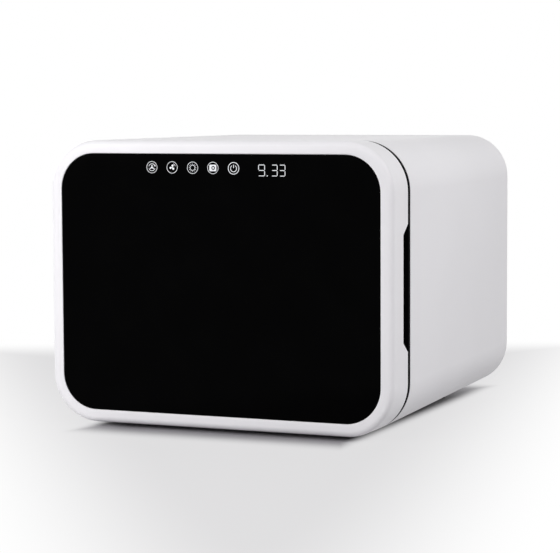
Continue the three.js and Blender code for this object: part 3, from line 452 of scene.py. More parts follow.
def slot_hole(x, z, width, height, ys):
    """A slot with round ends, as a tool that cuts through along y."""
    return drawn(plate(x, z, width, height, min(width, height) / 2 - 0.01, 5), ys)


def grille(width, span, ys):
    """Seven level slots over a span, one above the other, where the air goes through."""
    return [slot_hole(AIR_X, AIR_Z + i * span / 7, width, 3, ys) for i in range(-3, 4)]


def filleted(corners, radius, steps, closed=False):
    """A path through corners, with a round bend at each."""
    corners = [Vector(c) for c in corners]
    path = []
    for i, corner in enumerate(corners):
        if not closed and i in (0, len(corners) - 1):
            path.append(corner)
            continue
        to_last = (corners[i - 1] - corner).normalized()
        to_next = (corners[(i + 1) % len(corners)] - corner).normalized()
        half_turn = to_last.angle(to_next) / 2
        back = radius / math.tan(half_turn)
        centre = corner + (to_last + to_next).normalized() * (radius / math.sin(half_turn))
        start, end = corner + to_last * back - centre, corner + to_next * back - centre
        sweep = start.angle(end)
        for step in range(steps + 1):
            t = step / steps
            arm = start * math.sin((1 - t) * sweep) + end * math.sin(t * sweep)
            path.append(centre + arm / math.sin(sweep))
    return path


def headings(path, closed):
    """Each point of a path, with the path's direction there."""
    path = [Vector(p) for p in path]
    steps = []
    for i, point in enumerate(path):
        before = path[i - 1] if closed or i else point
        after = path[(i + 1) % len(path)] if closed or i < len(path) - 1 else point
        steps.append((point, (after - before).normalized()))
    return steps


def wire(path, radius, closed=False, sides=12):
    """A round wire along a path, with blunted ends."""
    steps = headings(path, closed)
    aside = None
    rings = []
    for point, along in steps:
        if aside is None:
            aside = along.orthogonal().normalized()
        aside = (aside - along * aside.dot(along)).normalized()
        across = along.cross(aside)
        turns = [math.tau * k / sides for k in range(sides)]
        rings.append([tuple(point + (aside * math.cos(t) + across * math.sin(t)) * radius)
                      for t in turns])
    if not closed:
        narrow, bulge = 0.7, 0.3
        for end, place, sense in ((0, 0, -1), (-1, len(rings) + 1, 1)):
            tip, along = steps[end]
            small = [tuple(tip + (Vector(p) - tip) * narrow + along * sense * radius * bulge)
                     for p in rings[end]]
            rings.insert(place, small)
    return loft(rings, closed)


# ---- pieces ----
WELD = 1e-7


def mesh_object(name, solid):
    mesh = bpy.data.meshes.new(name)
    mesh.from_pydata([[c * MM for c in point] for point in solid[0]], [], solid[1])
    work = bmesh.new()
    work.from_mesh(mesh)
    bmesh.ops.remove_doubles(work, verts=work.verts, dist=WELD)
    bmesh.ops.recalc_face_normals(work, faces=work.faces)
    work.to_mesh(mesh)
    work.free()
    made = bpy.data.objects.new(name, mesh)
    scene.collection.objects.link(made)
    return made


def settle(made):
    """Applies the modifiers that an object has so far."""
    evaluated = made.evaluated_get(bpy.context.evaluated_depsgraph_get())
    mesh = bpy.data.meshes.new_from_object(evaluated)
    made.modifiers.clear()
    old, made.data = made.data, mesh
    bpy.data.meshes.remove(old)
    mesh.name = made.name


def combine(made, solid, operation):
    """Joins a solid to an object, or cuts it out."""
    tool = mesh_object(made.name + "_tool", solid)
    change = made.modifiers.new(operation.lower(), "BOOLEAN")
    change.operation, change.object, change.solver = operation, tool, "EXACT"
    change.use_self = True
    settle(made)
    bpy.data.objects.remove(tool)


def soften(made, width, angle=40):
    """Rounds the edges that are sharper than an angle."""
    change = made.modifiers.new("edges", "BEVEL")
    change.width, change.segments = width * MM, 2
    change.limit_method, change.angle_limit = "ANGLE", math.radians(angle)


def smooth(made, angle):
    """Smooth shading up to an angle, with the large faces kept flat."""
    made.data.shade_smooth()
    made.data.set_sharp_from_angle(angle=math.radians(angle))
    even = made.modifiers.new("even_normals", "WEIGHTED_NORMAL")
    even.keep_sharp = True


def piece(name, body, finish, solid, *stands_for, slot=None,
          extra=None, holes=None, edges=0.0, angle=38):
    """One piece: its mesh, what is joined and cut, its edges, finish, body and CAD node. The slot
    argument is not used.
    """
    made = mesh_object(name, solid)
    if extra:
        combine(made, extra, "UNION")
    if holes:
        combine(made, holes, "DIFFERENCE")
    if edges:
        soften(made, edges)
        settle(made)
    smooth(made, angle)
    made.data.materials.clear()
    made.data.materials.append(finishes[finish].material)
    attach(made, body)
    if stands_for:
        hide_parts(*stands_for)
    return made


# ---- the casing and the back ----
def rear_screws():
    """The places of the back's four screws, on the diagonals of its corners."""
    reach = (REAR_RADIUS - REAR_SCREW_INSET) * math.sqrt(0.5)
    x = HALF - REAR_RADIUS + reach
    high = TOP - REAR_RADIUS + reach
    low = FLOOR_GAP + BOTTOM_RISE + REAR_RADIUS - reach
    return ((-x, high), (x, high), (-x, low), (x, low))


def make_casing():
    """The casing's sleeve, with a ledge for the back and seats for the feet, and its bosses."""
    rim, rear, lip = 0.7, 6, 0.6
    ledge = 14
    profile = [
        *arc(SHELL_RIM_Y + rim, rim, rim, 180, 270), *arc(BACK_Y - rear, rear, rear, 270, 360, 10),
        *arc(BACK_Y - lip, COVER_INSET - lip, lip, 0, 90, 3), (COVER_FRONT_Y, COVER_INSET),
        (COVER_FRONT_Y, ledge), (COVER_FRONT_Y - 3, ledge),
        (COVER_FRONT_Y - 11, SHELL_WALL), (SHELL_RIM_Y, SHELL_WALL)]
    sleeve = loft([box_ring(y, inset) for y, inset in profile], closed=True)
    front, back = COVER_FRONT_Y - 16, COVER_FRONT_Y - 0.1
    tube = [(SCREW_BORE, front), (BOSS_RADIUS, front), (BOSS_RADIUS, back), (SCREW_BORE, back)]
    bosses = [lathe(tube, "y", x, 0, z, 24, closed=True) for x, z in rear_screws()]
    wide = FOOT_RADIUS + FIT
    seats = [lathe([(wide, 0), (wide, bottom_at(y) + FOOT_SET + FIT)], "z", x, y, 0, 40)
             for x, y in FEET.values()]
    piece("casing", "cabinet", "white_gloss", sleeve, "outer_shell", holes=gathered(*seats))
    piece("casing_bosses", "cabinet", "white_gloss", gathered(*bosses))


def make_feet():
    for place, (x, y) in FEET.items():
        top = bottom_at(y) + FOOT_SET
        profile = [(5.2, 0.5), (5.8, 0.4), (6.6, 0), (7.4, 0.15), (8.0, 0.6), (8.2, 1.2),
                   (8.5, top - 1.6), (FOOT_RADIUS, top - 1.3), (FOOT_RADIUS, top)]
        foot = lathe(profile, "z", x, y, 0, 48)
        piece("rubber_foot_" + place, "cabinet", "black_rubber", foot, "foot_" + place)


def make_rear_cover():
    """The back: its plate, the filter's pocket, posts for the board, vents and screw bores."""
    inset, rim = COVER_INSET + FIT, 0.5
    profile = [(COVER_FRONT_Y, inset), (COVER_BACK_Y - rim, inset),
               *arc(COVER_BACK_Y - rim, inset + rim, rim, 270, 360, 3)[1:]]
    back_plate = loft([box_ring(y, i) for y, i in profile])

    opening, wall, pocket_front = FILTER_SIDE + 2 * FIT, 2, 170.5
    outside = opening + 2 * wall
    pocket = brick(around(AIR_X, outside), (pocket_front, COVER_BACK_Y - 0.6),
                   around(AIR_Z, outside))
    posts = [lathe([(3, 154.8), (3, 183)], "y", BOARD_X + dx, 0, BOARD_Z + dz, 16)
             for dx in (-52, 52) for dz in (-34, 34)]

    through, beyond = (178, 190), 190
    hollow = brick(around(AIR_X, opening), (pocket_front + wall, beyond), around(AIR_Z, opening))
    vents = [slot_hole(VENT_X + i * 9, VENT_Z, 3, 34, through) for i in range(-4, 5)]
    inlet = brick(around(INLET_X, INLET_WIDTH + 2 * FIT), through,
                  around(INLET_Z, INLET_HEIGHT + 2 * FIT))
    bore = [(SCREW_BORE, 170), (SCREW_BORE, 183), (SCREW_HEAD, COVER_BACK_Y), (SCREW_HEAD, 188)]
    screws = [lathe(bore, "y", x, 0, z, 24) for x, z in rear_screws()]
    holes = gathered(hollow, *grille(52, 56, (165, 175)), *vents, inlet, *screws)
    piece("back_cover", "cabinet", "white_gloss", back_plate, "rear_cover",
          extra=gathered(pocket, *posts), holes=holes, edges=0.3)


def make_filter():
    """The filter's cover with louvres, a finger grip and a rim behind, and the pad inside it."""
    outline = plate(AIR_X, AIR_Z, FILTER_SIDE, FILTER_SIDE, 3)
    panel = slab(outline, COVER_FRONT_Y, COVER_BACK_Y, 0.5)
    inner = plate(AIR_X, AIR_Z, FILTER_SIDE - 4, FILTER_SIDE - 4, 1.5)
    rim_front, rim_back = 178.5, 183
    corners = ((outline, rim_front), (outline, rim_back), (inner, rim_back), (inner, rim_front))
    rim = loft([[(x, y, z) for x, z in shape] for shape, y in corners], closed=True)
    grip = slab(plate(AIR_X, AIR_Z + 34, 22, 10, 3), 184, 188, 0.1)
    piece("filter_grille", "filter_cover", "white_gloss", panel, "filter_cover", extra=rim,
          holes=gathered(*grille(60, 64, (175, 190)), grip), edges=0.25)

    rings = []
    for y, margin in ((175.4, 3), (175.2, 5), (178, 0), (181.6, 0), (182.1, 3), (182.2, 8)):
        side = FILTER_SIDE - 5 - 2 * margin
        rings.append([(x, y, z) for x, z in plate(AIR_X, AIR_Z, side, side, 5, 8)])
    foam = piece("filter_foam_pad", "filter_cover", "filter_foam", loft(rings), "filter_pad",
                 angle=70)


def screw_solid():
    """A countersunk screw that points along -y from its head at the origin."""
    profile = [(0.4, -14), (1.1, -13.4), (1.5, -12.4), (1.5, -1.9),
               (3.3, -0.2), (3.4, -0.08), (3.3, 0)]
    return lathe(profile, "y", 0, 0, 0, 28)


def make_screws():
    """The screws of the back and of the door, with a cross in each head."""
    arm, half = 2.0, 0.42
    cross = gathered(brick((-arm, arm), (-1.2, 1), (-half, half)),
                     brick((-half, half), (-1.25, 1), (-arm, arm)))
    rows = (("rear_screw", rear_screws(), COVER_BACK_Y, "cabinet"),
            ("door_screw", DOOR_SCREWS, DOOR_BACK_Y, "door"))
    for row, places, y, body in rows:
        for number, (x, z) in enumerate(places, 1):
            node = "%s_%d" % (row, number)
            piece("cross_head_" + node, body, "plated_steel", shifted(screw_solid(), x, y, z), node,
                  holes=shifted(cross, x, y, z))


def make_inlet():
    """The lead's inlet, with a flange, a socket and two pins in it."""
    body = slab(plate(INLET_X, INLET_Z, INLET_WIDTH, INLET_HEIGHT, 2), 162, 185.2, 0.6)
    flange = slab(plate(INLET_X, INLET_Z, 32, 21, 4, 8), COVER_BACK_Y, BACK_Y, 0.3)
    socket = slab(plate(INLET_X, INLET_Z, 15, 9, 4, 8), 171, 188, 0.05)
    piece("lead_inlet", "cabinet", "dark_plastic", body, "power_inlet",
          extra=flange, holes=socket, edges=0.2)
    pin = [(0.6, 170), (1.2, 170.2), (1.2, 182), (0.9, 182.8), (0.4, 183)]
    pins = [lathe(pin, "y", INLET_X + side * 4.3, 0, INLET_Z, 20) for side in (-1, 1)]
    piece("lead_inlet_pins", "cabinet", "plated_steel", gathered(*pins))


# ---- the frame round the chamber's mouth ----
def make_front_frame():
    """The dark frame from the casing's rim to the chamber's mouth, cut for hinges and catch. Its
    near-black finish also paints the shade in the seam round the door.
    """
    edge, tongue = 0.5, SHELL_WALL + FIT
    rings = [box_ring(y, inset) for y, inset in (
        *arc(FRAME_Y + edge, 2 * edge, edge, 180, 270, 3), (SHELL_RIM_Y - FIT, edge),
        (SHELL_RIM_Y - FIT, tongue), (FRAME_BACK_Y, tongue))]
    rings += [chamber_ring(y, inset) for y, inset in (
        (FRAME_BACK_Y, 0), (FRAME_Y + 0.9, 0), (FRAME_Y + 0.3, -0.25), (FRAME_Y, -0.9))]
    before = FRAME_Y - 1
    slots = [brick((-183.4, -173.8), (before, -130), around(z, 3.6)) for z in HINGE_HEIGHTS]
    pockets = [brick(around(CATCH_X, 11.6), (before, -139.2), around(z, 30.6))
               for z in HINGE_HEIGHTS]
    sensor = brick(around(CATCH_X, 12.6), (-140, -130), around(SENSOR_Z, 20.6))
    window = brick(around(CATCH_X, 7), (before, -139), around(SENSOR_Z, 12))
    piece("mouth_frame", "cabinet", "shade_black_plastic", loft(rings, closed=True), "front_frame",
          holes=gathered(*slots, *pockets, sensor, window))


# ---- the door ----
GRIP_HALF, GRIP_DEPTH, GRIP_SLOPE = 60.63, 11, 10
GRIP_WALL = 2


def grip_outline(extra, back):
    """The recess as (y, z) pairs, larger by an extra and open to a distance behind the door."""
    end, floor = GRIP_HALF + extra, DOOR_BACK_Y - GRIP_DEPTH - extra
    side = [(DOOR_BACK_Y + back, end), (DOOR_BACK_Y - FIT, end), (floor, end - GRIP_SLOPE)]
    return ([(y, MIDDLE_Z - reach) for y, reach in side]
            + [(y, MIDDLE_Z + reach) for y, reach in side[::-1]])


def grip_prism(extra, back, xs):
    return loft([[(x, y, z) for y, z in grip_outline(extra, back)] for x in xs])


def grip_cut():
    return grip_prism(GRIP_WALL + FIT, 4, (168.7, 190))


def hinge_cuts():
    return [brick((-190, -173.5), (-165, -140), around(z, 5)) for z in HINGE_HEIGHTS]


def door_screw_holes():
    """Countersunk bores in the door's back."""
    bore = [(SCREW_BORE, DOOR_BACK_Y - 16), (SCREW_BORE, DOOR_BACK_Y - 1.9),
            (SCREW_HEAD, DOOR_BACK_Y + 0.05), (SCREW_HEAD, DOOR_BACK_Y + 4)]
    return [lathe(bore, "y", x, 0, z, 24) for x, z in DOOR_SCREWS]


def make_door_frame():
    """The door's white ring: bezel, sides, hinge blocks, screw bosses and finger recess."""
    rim, back_rim = 6, 0.6
    lip = [(y, BEZEL - back) for y, back in (
        (-185.2, 0), (-185.5, 0.1), (-185.72, 0.35), (-185.83, 0.8), (-185.9, 1.8),
        (-185.96, 3.2), (FRONT_Y, 5))]
    channel_front, channel_back, glass_seat = -182.5, -146.8, -181.3
    profile = [
        *arc(FRONT_Y + rim, rim, rim, 180, 270, 12),
        *arc(DOOR_BACK_Y - back_rim, back_rim, back_rim, 270, 360, 4),
        (DOOR_BACK_Y, SHELL_WALL), (channel_front, SHELL_WALL), (channel_front, BEZEL - 2),
        (channel_back, BEZEL - 2), (channel_back, BEZEL + 3), (glass_seat, BEZEL + 3),
        (glass_seat, BEZEL), *lip]
    ring = loft([box_ring(y, inset) for y, inset in profile], closed=True)
    blocks = [brick((-185.5, -170.5), (-170, channel_back), around(z, 40)) for z in HINGE_HEIGHTS]
    bosses = [lathe([(BOSS_RADIUS, -183), (BOSS_RADIUS, channel_back)], "y", x, 0, z, 24)
              for x, z in DOOR_SCREWS]
    cuts = gathered(*hinge_cuts(), *door_screw_holes(), grip_cut())
    piece("door_bezel", "door", "white_gloss", ring, "door_frame",
          extra=gathered(*blocks, *bosses), holes=cuts)


def make_door_liner():
    """The door's back panel, which stands out a little in its middle."""
    profile = [(-146.5, 3.3), (-144.5, 3.3), (-144.15, 3.45), (-144, 3.8), (-144, 35),
               (-143.9, 35.7), (-143.5, 36.3), (-142.5, 37.3), (-142.1, 37.9), (-142, 38.6)]
    panel = loft([box_ring(y, inset) for y, inset in profile])
    piece("door_back_panel", "door", "grey_plastic", panel, "door_liner",
          holes=gathered(*hinge_cuts(), *door_screw_holes(), grip_cut()))


def make_gasket():
    """The seal, with two soft ribs round the door's back."""
    base, trough = (21.5, 28.5), 25
    rib = [(-143.2, 21.55), (-142, 22.1), (-141.4, 23), (-141.3, 23.7), (-141.6, 24.4)]
    profile = [(DOOR_BACK_Y, base[0]), *rib, (-142.4, trough),
               *((y, 2 * trough - inset) for y, inset in rib[::-1]), (DOOR_BACK_Y, base[1])]
    piece("door_seal", "door", "black_rubber",
          loft([box_ring(y, inset) for y, inset in profile], closed=True), "door_gasket", angle=60)


def make_pane():
    """The glass, with a fine bevel round its front."""
    profile = [(GLASS_BACK_Y, GLASS_INSET + 0.4), (GLASS_BACK_Y - 0.4, GLASS_INSET),
               (GLASS_FRONT_Y + 0.35, GLASS_INSET), (GLASS_FRONT_Y + 0.1, GLASS_INSET + 0.1),
               (GLASS_FRONT_Y, GLASS_INSET + 0.35)]
    piece("front_pane", "door", "black_glass",
          loft([box_ring(y, inset) for y, inset in profile]), "door_glass")


def make_grip():
    """The dark insert of the finger recess. Its near-black finish also paints the shade in the
    recess.
    """
    holder = grip_prism(GRIP_WALL, 0, (171, 186.4))
    hollow = grip_prism(0, 3, (173, 190))
    piece("grip_insert", "door", "shade_black_plastic", holder, "finger_grip", holes=hollow, edges=0.3)


# ---- lit signs on the pane ----
SIGN_YS = (GLASS_FRONT_Y - 0.06, GLASS_FRONT_Y + 0.1)


def stroke(path, width, closed=False):
    """A flat line of light along a path in x and z."""
    rings = []
    for point, along in headings(path, closed):
        side = Vector((-along.y, along.x)) * width / 2
        left, right = point + side, point - side
        rings.append([(left.x, SIGN_YS[0], left.y), (right.x, SIGN_YS[0], right.y),
                      (right.x, SIGN_YS[1], right.y), (left.x, SIGN_YS[1], left.y)])
    return loft(rings, closed)


def round_path(x, z, radius, start=0, end=360, steps=40):
    """Points on a circle, angles in degrees from +x towards +z."""
    points = steps + (end - start < 360)
    angles = [math.radians(start + (end - start) * i / steps) for i in range(points)]
    return [(x + radius * math.cos(a), z + radius * math.sin(a)) for a in angles]


def flat_shape(outline):
    return drawn(outline, SIGN_YS)


def ring_sign(x, z, radius, width, steps):
    return stroke(round_path(x, z, radius, steps=steps), width, closed=True)


def sign_auto(x, z):
    """A turning arrow round a small three-armed mark."""
    head = [(x + 4.6, z + 0.9), (x + 2.3, z + 1.5), (x + 4.0, z + 3.1)]
    turns = [stroke(round_path(x, z, 3.9, *sweep), 0.6) for sweep in ((40, 165), (200, 345))]
    arms = [stroke([(x, z), (x + 2.6 * math.cos(t), z + 2.6 * math.sin(t))], 1.3)
            for t in (math.radians(a) for a in (90, 215, 325))]
    return [*turns, flat_shape(head), *arms]


def sign_fan(x, z):
    """Three round blades about a hub, with a short arc beside them."""
    blades = []
    for turn in (math.radians(a) for a in (75, 195, 315)):
        middle = (x + 2.0 * math.cos(turn), z + 2.0 * math.sin(turn))
        blades.append(flat_shape(round_path(*middle, 1.25, steps=20)))
    return [*blades, stroke(round_path(x, z, 4.2, 20, 70), 0.55), ring_sign(x, z, 0.6, 0.5, 16)]


def sign_sun(x, z):
    """A ring with twelve rays."""
    rays = [stroke([(x + r * math.cos(t), z + r * math.sin(t)) for r in (3.6, 4.5)], 0.5)
            for t in (math.tau * i / 12 for i in range(12))]
    return [*rays, ring_sign(x, z, 2.9, 0.5, 32)]


def sign_keep(x, z):
    """A solid case with a round dial in it."""
    half_width, half_height, dial_radius, shift, tiny = 4.2, 3.6, 2.2, 0.4, 1e-6
    turns = [math.tau * i / 32 for i in range(32)]
    dial = [(x + shift + dial_radius * math.cos(t), z + dial_radius * math.sin(t)) for t in turns]
    edge = []
    for t in turns:
        reach = min(half_width / max(abs(math.cos(t)), tiny),
                    half_height / max(abs(math.sin(t)), tiny))
        edge.append((x + reach * math.cos(t), z + reach * math.sin(t)))
    front, back = SIGN_YS
    rings = [[(a, front, b), (c, front, d), (c, back, d), (a, back, b)]
             for (a, b), (c, d) in zip(edge, dial)]
    return [loft(rings, closed=True), flat_shape(round_path(x + shift, z, 1.1, steps=16))]


def sign_power(x, z):
    """An open ring with a stroke in its gap."""
    return [stroke(round_path(x, z - 0.2, 3.6, 122, 418), 0.7),
            stroke([(x, z + 0.3), (x, z + 4.0)], 0.7)]


# Each sign, its place in x and z, and how wide the stroke of its outer ring is.
SIGNS = ((sign_auto, -70.3, 265.2, 0.5), (sign_fan, -47.8, 265.2, 0.5), (sign_sun, -25.2, 265, 0.5),
         (sign_keep, -2.9, 265, 0.5), (sign_power, 19.6, 264.8, 0.7))
SIGN_RADIUS, SIGN_SCALE = 6.4, 0.9


def make_signs():
    solids = []
    for sign, x, z, bold in SIGNS:
        for part in (ring_sign(0, 0, SIGN_RADIUS, bold, 64), *sign(0, 0)):
            solids.append(moved(part, lambda a, b, c: (x + a * SIGN_SCALE, b, z + c * SIGN_SCALE)))
    piece("touch_signs", "door", "lit_signs", gathered(*solids), slot="black_glass")


# The lit bars of each digit: a, g and d lie flat from the top down, b and c are the right
# upright, and f is the upper left one.
SEGMENTS = {"9": "abcdfg", "3": "abcdg"}
# Each digit, its left edge and its width.
DIGITS = (("9", 46.2, 7.2), ("3", 60.4, 6.4), ("3", 68.7, 6.4))
DIGIT_Z, DIGIT_HEIGHT, POINT_PLACE, POINT_RADIUS = 257.3, 11.4, (55.8, 257.7), 0.6


def digit(which, x, width):
    """A seven-segment digit from its left edge."""
    thick, cut = 0.7, 0.35
    base, middle, top = DIGIT_Z, DIGIT_Z + DIGIT_HEIGHT / 2, DIGIT_Z + DIGIT_HEIGHT
    left, right = x + thick / 2, x + width - thick / 2
    flat = {"a": top - thick / 2, "g": middle, "d": base + thick / 2}
    tall = {"b": (right, middle, top), "c": (right, base, middle), "f": (left, middle, top)}
    bars = []
    for name in SEGMENTS[which]:
        if name in flat:
            bars.append(stroke([(left + cut, flat[name]), (right - cut, flat[name])], thick))
        else:
            at, low, high = tall[name]
            bars.append(stroke([(at, low + thick / 2 + cut), (at, high - thick / 2 - cut)], thick))
    return bars


def make_digits():
    solids = []
    for setting in DIGITS:
        solids += digit(*setting)
    solids.append(flat_shape(round_path(*POINT_PLACE, POINT_RADIUS, steps=16)))
    piece("display_digits", "door", "lit_signs", gathered(*solids), slot="black_glass")


# ---- the chamber ----
def make_chamber():
    """The steel tub, folded out into a flange at its mouth, with the air's grille in its back."""
    wall, flange, corner = 1.2, 6.5, 8
    flange_front = FRAME_BACK_Y + FIT
    flange_back = flange_front + wall
    outer_back = CHAMBER_BACK_Y + wall
    outside = [(outer_back, corner), (outer_back, 1.5 - wall), (outer_back - 1.5, -wall),
               (flange_back, -wall), (flange_back, -flange), (flange_front, -flange)]
    inside = [(flange_front, -0.8), (flange_front + 0.3, -0.2), (flange_front + 1, 0),
              *arc(CHAMBER_BACK_Y - corner, corner, corner, 270, 360, 8)]
    tub = loft([chamber_ring(y, inset) for y, inset in outside + inside])
    piece("chamber_tub", "cabinet", "stainless", tub, "chamber_liner",
          holes=gathered(*grille(52, 52, (105, 125))))


RACKS = {"upper": 160.3, "lower": 57.3}
RACK_HALF, RACK_FRONT, RACK_REAR = 149.2, -113.0, 82.7
RIM_WIRE, RACK_WIRE, RACK_PITCH, RACK_CORNER = 2, 1.5, 20, 12


def make_racks():
    """The two shelves: a rim, wires from front to rear, and two cross wires beneath them."""
    for name, z in RACKS.items():
        corners = [(RACK_HALF, RACK_FRONT, z), (RACK_HALF, RACK_REAR, z),
                   (-RACK_HALF, RACK_REAR, z), (-RACK_HALF, RACK_FRONT, z)]
        rim = filleted(corners, RACK_CORNER, 8, closed=True)
        wires = [wire(rim, RIM_WIRE, closed=True, sides=16)]
        for x in (i * RACK_PITCH for i in range(-6, 7)):
            wires.append(wire([(x, y, z) for y in (RACK_FRONT, 0, RACK_REAR)], RACK_WIRE))
        reach, low = RACK_HALF - 9, z - RACK_WIRE
        for share in (1 / 3, 2 / 3):
            y = RACK_FRONT + (RACK_REAR - RACK_FRONT) * share
            wires.append(wire([(x, y, low) for x in (-reach, 0, reach)], RACK_WIRE))
        piece(name + "_shelf_wires", name + "_rack", "wire_steel", gathered(*wires),
              name + "_rack", angle=60)


# ---- the lamps: drawn along x, hanging from a plane, and then put in their places ----
LAMPS = {
    "top": lambda x, y, z: (x, y - 7.5, z + CHAMBER_HIGH - FIT),
    "rear": lambda x, y, z: (x, z + CHAMBER_BACK_Y - FIT, 178 - y),
}
TUBE_DROP, TUBE_HALF, PIN_APART = 16.0, 106.0, 2.4
GUARD_HALF, GUARD_SIDE, GUARD_LOW, GUARD_HIGH, GUARD_HOOPS = 94, 14, -29, -1.1, 5


def tube_caps():
    """The caps of a tube's ends, with two pins each."""
    parts = []
    for end in (-1, 1):
        cap = [(7.7, 93.8), (8, 94.3), (8, 96.5), (7.8, 96.9), (7.8, 97.6), (8, 98), (8, 105.2),
               (7.6, TUBE_HALF), (5.5, TUBE_HALF)]
        pin = [(1.2, TUBE_HALF - 0.5), (1.2, TUBE_HALF + 6), (0.8, TUBE_HALF + 6.5)]
        cap, pin = ([(radius, end * along) for radius, along in shape] for shape in (cap, pin))
        parts.append(lathe(cap, "x", 0, 0, -TUBE_DROP, 40))
        parts += [lathe(pin, "x", 0, side * PIN_APART, -TUBE_DROP, 16) for side in (-1, 1)]
    return gathered(*parts)


def tube_filaments():
    """A coil across each end of a tube, on two stiff leads."""
    place, radius, half, full, steps = 88, 0.9, 3.5, math.tau * 9, 144
    turns = [full * i / steps for i in range(steps + 1)]
    parts = []
    for end in (-1, 1):
        coil = [(end * place + radius * math.cos(t), -half + 2 * half * t / full,
                 radius * math.sin(t) - TUBE_DROP) for t in turns]
        parts.append(wire(coil, 0.22, sides=6))
        for side in (-1, 1):
            lead = ((94, PIN_APART), (90, 3.4), (place, half))
            parts.append(wire([(end * x, side * y, -TUBE_DROP) for x, y in lead], 0.4, sides=8))
    return gathered(*parts)


def lamp_guard():
    """Hoops over a tube, joined by a rail on each side."""
    parts = []
    for i in range(GUARD_HOOPS):
        x = -GUARD_HALF + 2 * GUARD_HALF * (i + 0.5) / GUARD_HOOPS
        corners = [(x, -GUARD_SIDE, GUARD_HIGH), (x, -GUARD_SIDE, GUARD_LOW),
                   (x, GUARD_SIDE, GUARD_LOW), (x, GUARD_SIDE, GUARD_HIGH)]
        parts.append(wire(filleted(corners, 5, 6), 1))
    for side in (-1, 1):
        parts.append(wire([(x, side * GUARD_SIDE, -24) for x in (-GUARD_HALF, 0, GUARD_HALF)], 1))
    return gathered(*parts)


def make_lamps():
    for name, place in LAMPS.items():
        glass = lathe([(7.2, -96), (7.6, -95), (7.6, 95), (7.2, 96)], "x", 0, 0, -TUBE_DROP, 40)
        piece(name + "_tube_glass", "cabinet", "quartz", moved(glass, place), name + "_uv_tube")
        piece(name + "_tube_caps", "cabinet", "aluminium", moved(tube_caps(), place))
        piece(name + "_tube_filaments", "cabinet", "plated_steel", moved(tube_filaments(), place))
        piece(name + "_guard_wires", "cabinet", "wire_steel", moved(lamp_guard(), place),
              name + "_lamp_guard", angle=60)
        for side, label in ((-1, "left"), (1, "right")):
            ends = sorted((side * (TUBE_HALF + FIT), side * (TUBE_HALF + 9.3)))
            holder = brick(ends, (-10, 10), (-26, GUARD_HIGH))
            key = brick(sorted((side * 105, side * 113)), (-3.8, 3.8), (-17.6, -14.4))
            piece("%s_lamp_holder_%s" % (name, label), "cabinet", "ivory_plastic",
                  moved(holder, place), "%s_socket_%s" % (name, label),
                  holes=moved(key, place), edges=1.2)


# ---- CAD solids that stay, by how wide their edges are rounded in millimetres ----
KEPT = {
    0.2: ("heater_core", "upper_hinge_pin", "lower_hinge_pin", "upper_hinge_bush",
          "lower_hinge_bush", "touch_board"),
    0.3: ("rack_rail_left", "rack_rail_right", "top_reflector", "rear_reflector", "fan_motor",
          "fan_rotor", "power_board", "upper_strike_plate", "lower_strike_plate",
          "upper_hinge_bracket", "lower_hinge_bracket"),
    0.4: ("thermal_cutout", "fan_housing", "door_sensor", "upper_magnet", "lower_magnet",
          "display_module"),
    0.5: ("air_duct", "heater_frame"),
    0.6: ("lamp_ballast",),
}


def dress_kept_solids():
    for width, nodes in KEPT.items():
        for node in nodes:
            solid = frame["nodes"][node]
            solid.data.materials.clear()
            solid.data.materials.append(finishes[record_slots[node]].material)
            soften(solid, width, 30)
            solid.data.shade_smooth()
            solid.data.set_sharp_from_angle(angle=math.radians(32))


# ---- floor, backdrop and lights, in metres and watts ----
# Half the paper's side and its height in millimetres, and the turn that its white edges follow.
PAPER_REACH, PAPER_DROP = 4000, -0.3
PAPER_YAW = math.radians(23.4)
# The paper's painted shade under the box: its half widths, its middle, how fast it fades and how
# far.
SHADE_HALF_X, SHADE_HALF_Y, SHADE_MIDDLE_Y = 0.132, 0.201, 0.015
SHADE_FALL_Y, PAINTED_SHADE_FADE, EVEN_FADE, EVEN_SHARE = 0.42, 0.022, 0.024, 0.92
# Where the grey paper turns to white: to both sides, wider with the distance, and far behind.
SIDE_SHIFT, SIDE_SPREAD, SIDES, FAR = 0.03, 0.225, (0.16, 0.37), (0.45, 0.64)
PAPER_GREY = rgb(0.762, 0.757, 0.765)
FILL_STRENGTH = 0.2
# Each lamp's place, what it points at, its side and its power.
LIGHTS = {
    "near_key": ((-0.4, -1.05, 0.5), (-0.1, -0.186, 0.2), 0.5, 4.6),
    "left_key": ((-0.9, -1.15, 0.5), (-0.1, -0.186, 0.2), 0.5, 4.7),
    "right_key": ((1.2, -0.3, 1.1), (0.187, -0.05, 0.2), 0.8, 11.8),
    "back_fill": ((-1.6, 1.3, 0.8), (-0.1, 0.1, 0.15), 0.9, 14),
}


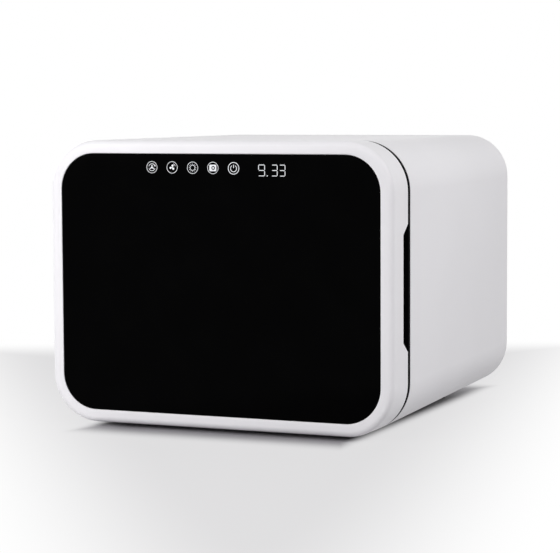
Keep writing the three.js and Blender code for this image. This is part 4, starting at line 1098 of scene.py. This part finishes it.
def make_floor():
    """Paper with a painted shade over the real shadow close to the box, which evens out to grey
    round it and ends in white.
    """
    corners = [(x, y, PAPER_DROP) for x, y in ((-1, -1), (1, -1), (1, 1), (-1, 1))]
    floor = mesh_object("floor", ([(x * PAPER_REACH, y * PAPER_REACH, z) for x, y, z in corners],
                                  [(0, 1, 2, 3)]))
    paper = Finish("floor_paper", Specular_IOR_Level=0.1, Roughness=0.8)
    parts = paper.node("SeparateXYZ", inputs={0: paper.place}, output=None)
    x, y = Value(paper, parts.outputs[0]), Value(paper, parts.outputs[1])
    ahead_or_behind = paper.math("ABSOLUTE", y - SHADE_MIDDLE_Y) - SHADE_HALF_Y
    away = paper.math("MAXIMUM", paper.math("ABSOLUTE", x) - SHADE_HALF_X,
                      ahead_or_behind * SHADE_FALL_Y)
    fleck = paper.spread(paper.noise(300, 2), 0.3, 0.7)
    open_paper = paper.blend(fleck, rgb(0.61, 0.605, 0.615), rgb(0.63, 0.625, 0.635))
    # Painted shade: the paper's colour turns dark grey close to the box, over its real shadow.
    painted_shade = paper.spread(away, 0.0, PAINTED_SHADE_FADE)
    paper.paint(Base_Color=paper.blend(painted_shade, rgb(0.32, 0.31, 0.33), open_paper))

    across = x * math.cos(PAPER_YAW) + y * math.sin(PAPER_YAW)
    ahead = y * math.cos(PAPER_YAW) - x * math.sin(PAPER_YAW)
    width = paper.math("ABSOLUTE", across + SIDE_SHIFT)
    sides = paper.spread(width - ahead * SIDE_SPREAD, *SIDES)
    far = paper.spread(ahead, *FAR)
    camera, glossy, through = paper.rays()
    seen = paper.spread(camera + glossy + through, 0, 1, smooth=False)
    grey = paper.node("Emission", inputs={"Color": PAPER_GREY, "Strength": 1.0})
    white = paper.node("Emission", inputs={"Color": WHITE, "Strength": 1.0})
    even = paper.spread(away, 0.0, EVEN_FADE, 0, EVEN_SHARE)
    near = paper.node("MixShader", inputs={0: even * seen, 1: paper.shader, 2: grey})
    edge = paper.math("MAXIMUM", sides, far) * seen
    paper.feed(paper.output.inputs["Surface"],
               paper.node("MixShader", inputs={0: edge, 1: near, 2: white}))
    floor.data.materials.append(paper.material)


def light(name, place, target, size, power):
    data = bpy.data.lights.new(name, "AREA")
    data.shape, data.size, data.energy = "SQUARE", size, power
    lamp = bpy.data.objects.new(name, data)
    lamp.location = place
    lamp.rotation_euler = (Vector(target) - Vector(place)).to_track_quat("-Z", "Y").to_euler()
    scene.collection.objects.link(lamp)


def light_studio():
    """White where the surroundings are seen, a faint fill elsewhere, and the lamps."""
    world = bpy.data.worlds.new("studio")
    scene.world = world
    studio = Shading(world)
    camera, glossy, through = studio.rays()
    seen = studio.math("MAXIMUM", studio.math("MAXIMUM", camera, glossy), through)
    fill = studio.node("Background", inputs={
        "Color": rgb(0.98, 0.98, 1.0), "Strength": FILL_STRENGTH})
    backdrop = studio.node("Background", inputs={"Color": WHITE, "Strength": 1.0})
    mixed = studio.node("MixShader", inputs={0: seen, 1: fill, 2: backdrop})
    studio.node("OutputWorld", inputs={"Surface": mixed}, output=None)
    scene.view_settings.view_transform = "Standard"

    for name, setting in LIGHTS.items():
        light(name, *setting)


make_casing()
make_feet()
make_rear_cover()
make_filter()
make_screws()
make_inlet()
make_front_frame()
make_door_frame()
make_door_liner()
make_gasket()
make_pane()
make_grip()
make_signs()
make_digits()
make_chamber()
make_racks()
make_lamps()
dress_kept_solids()
make_floor()
light_studio()
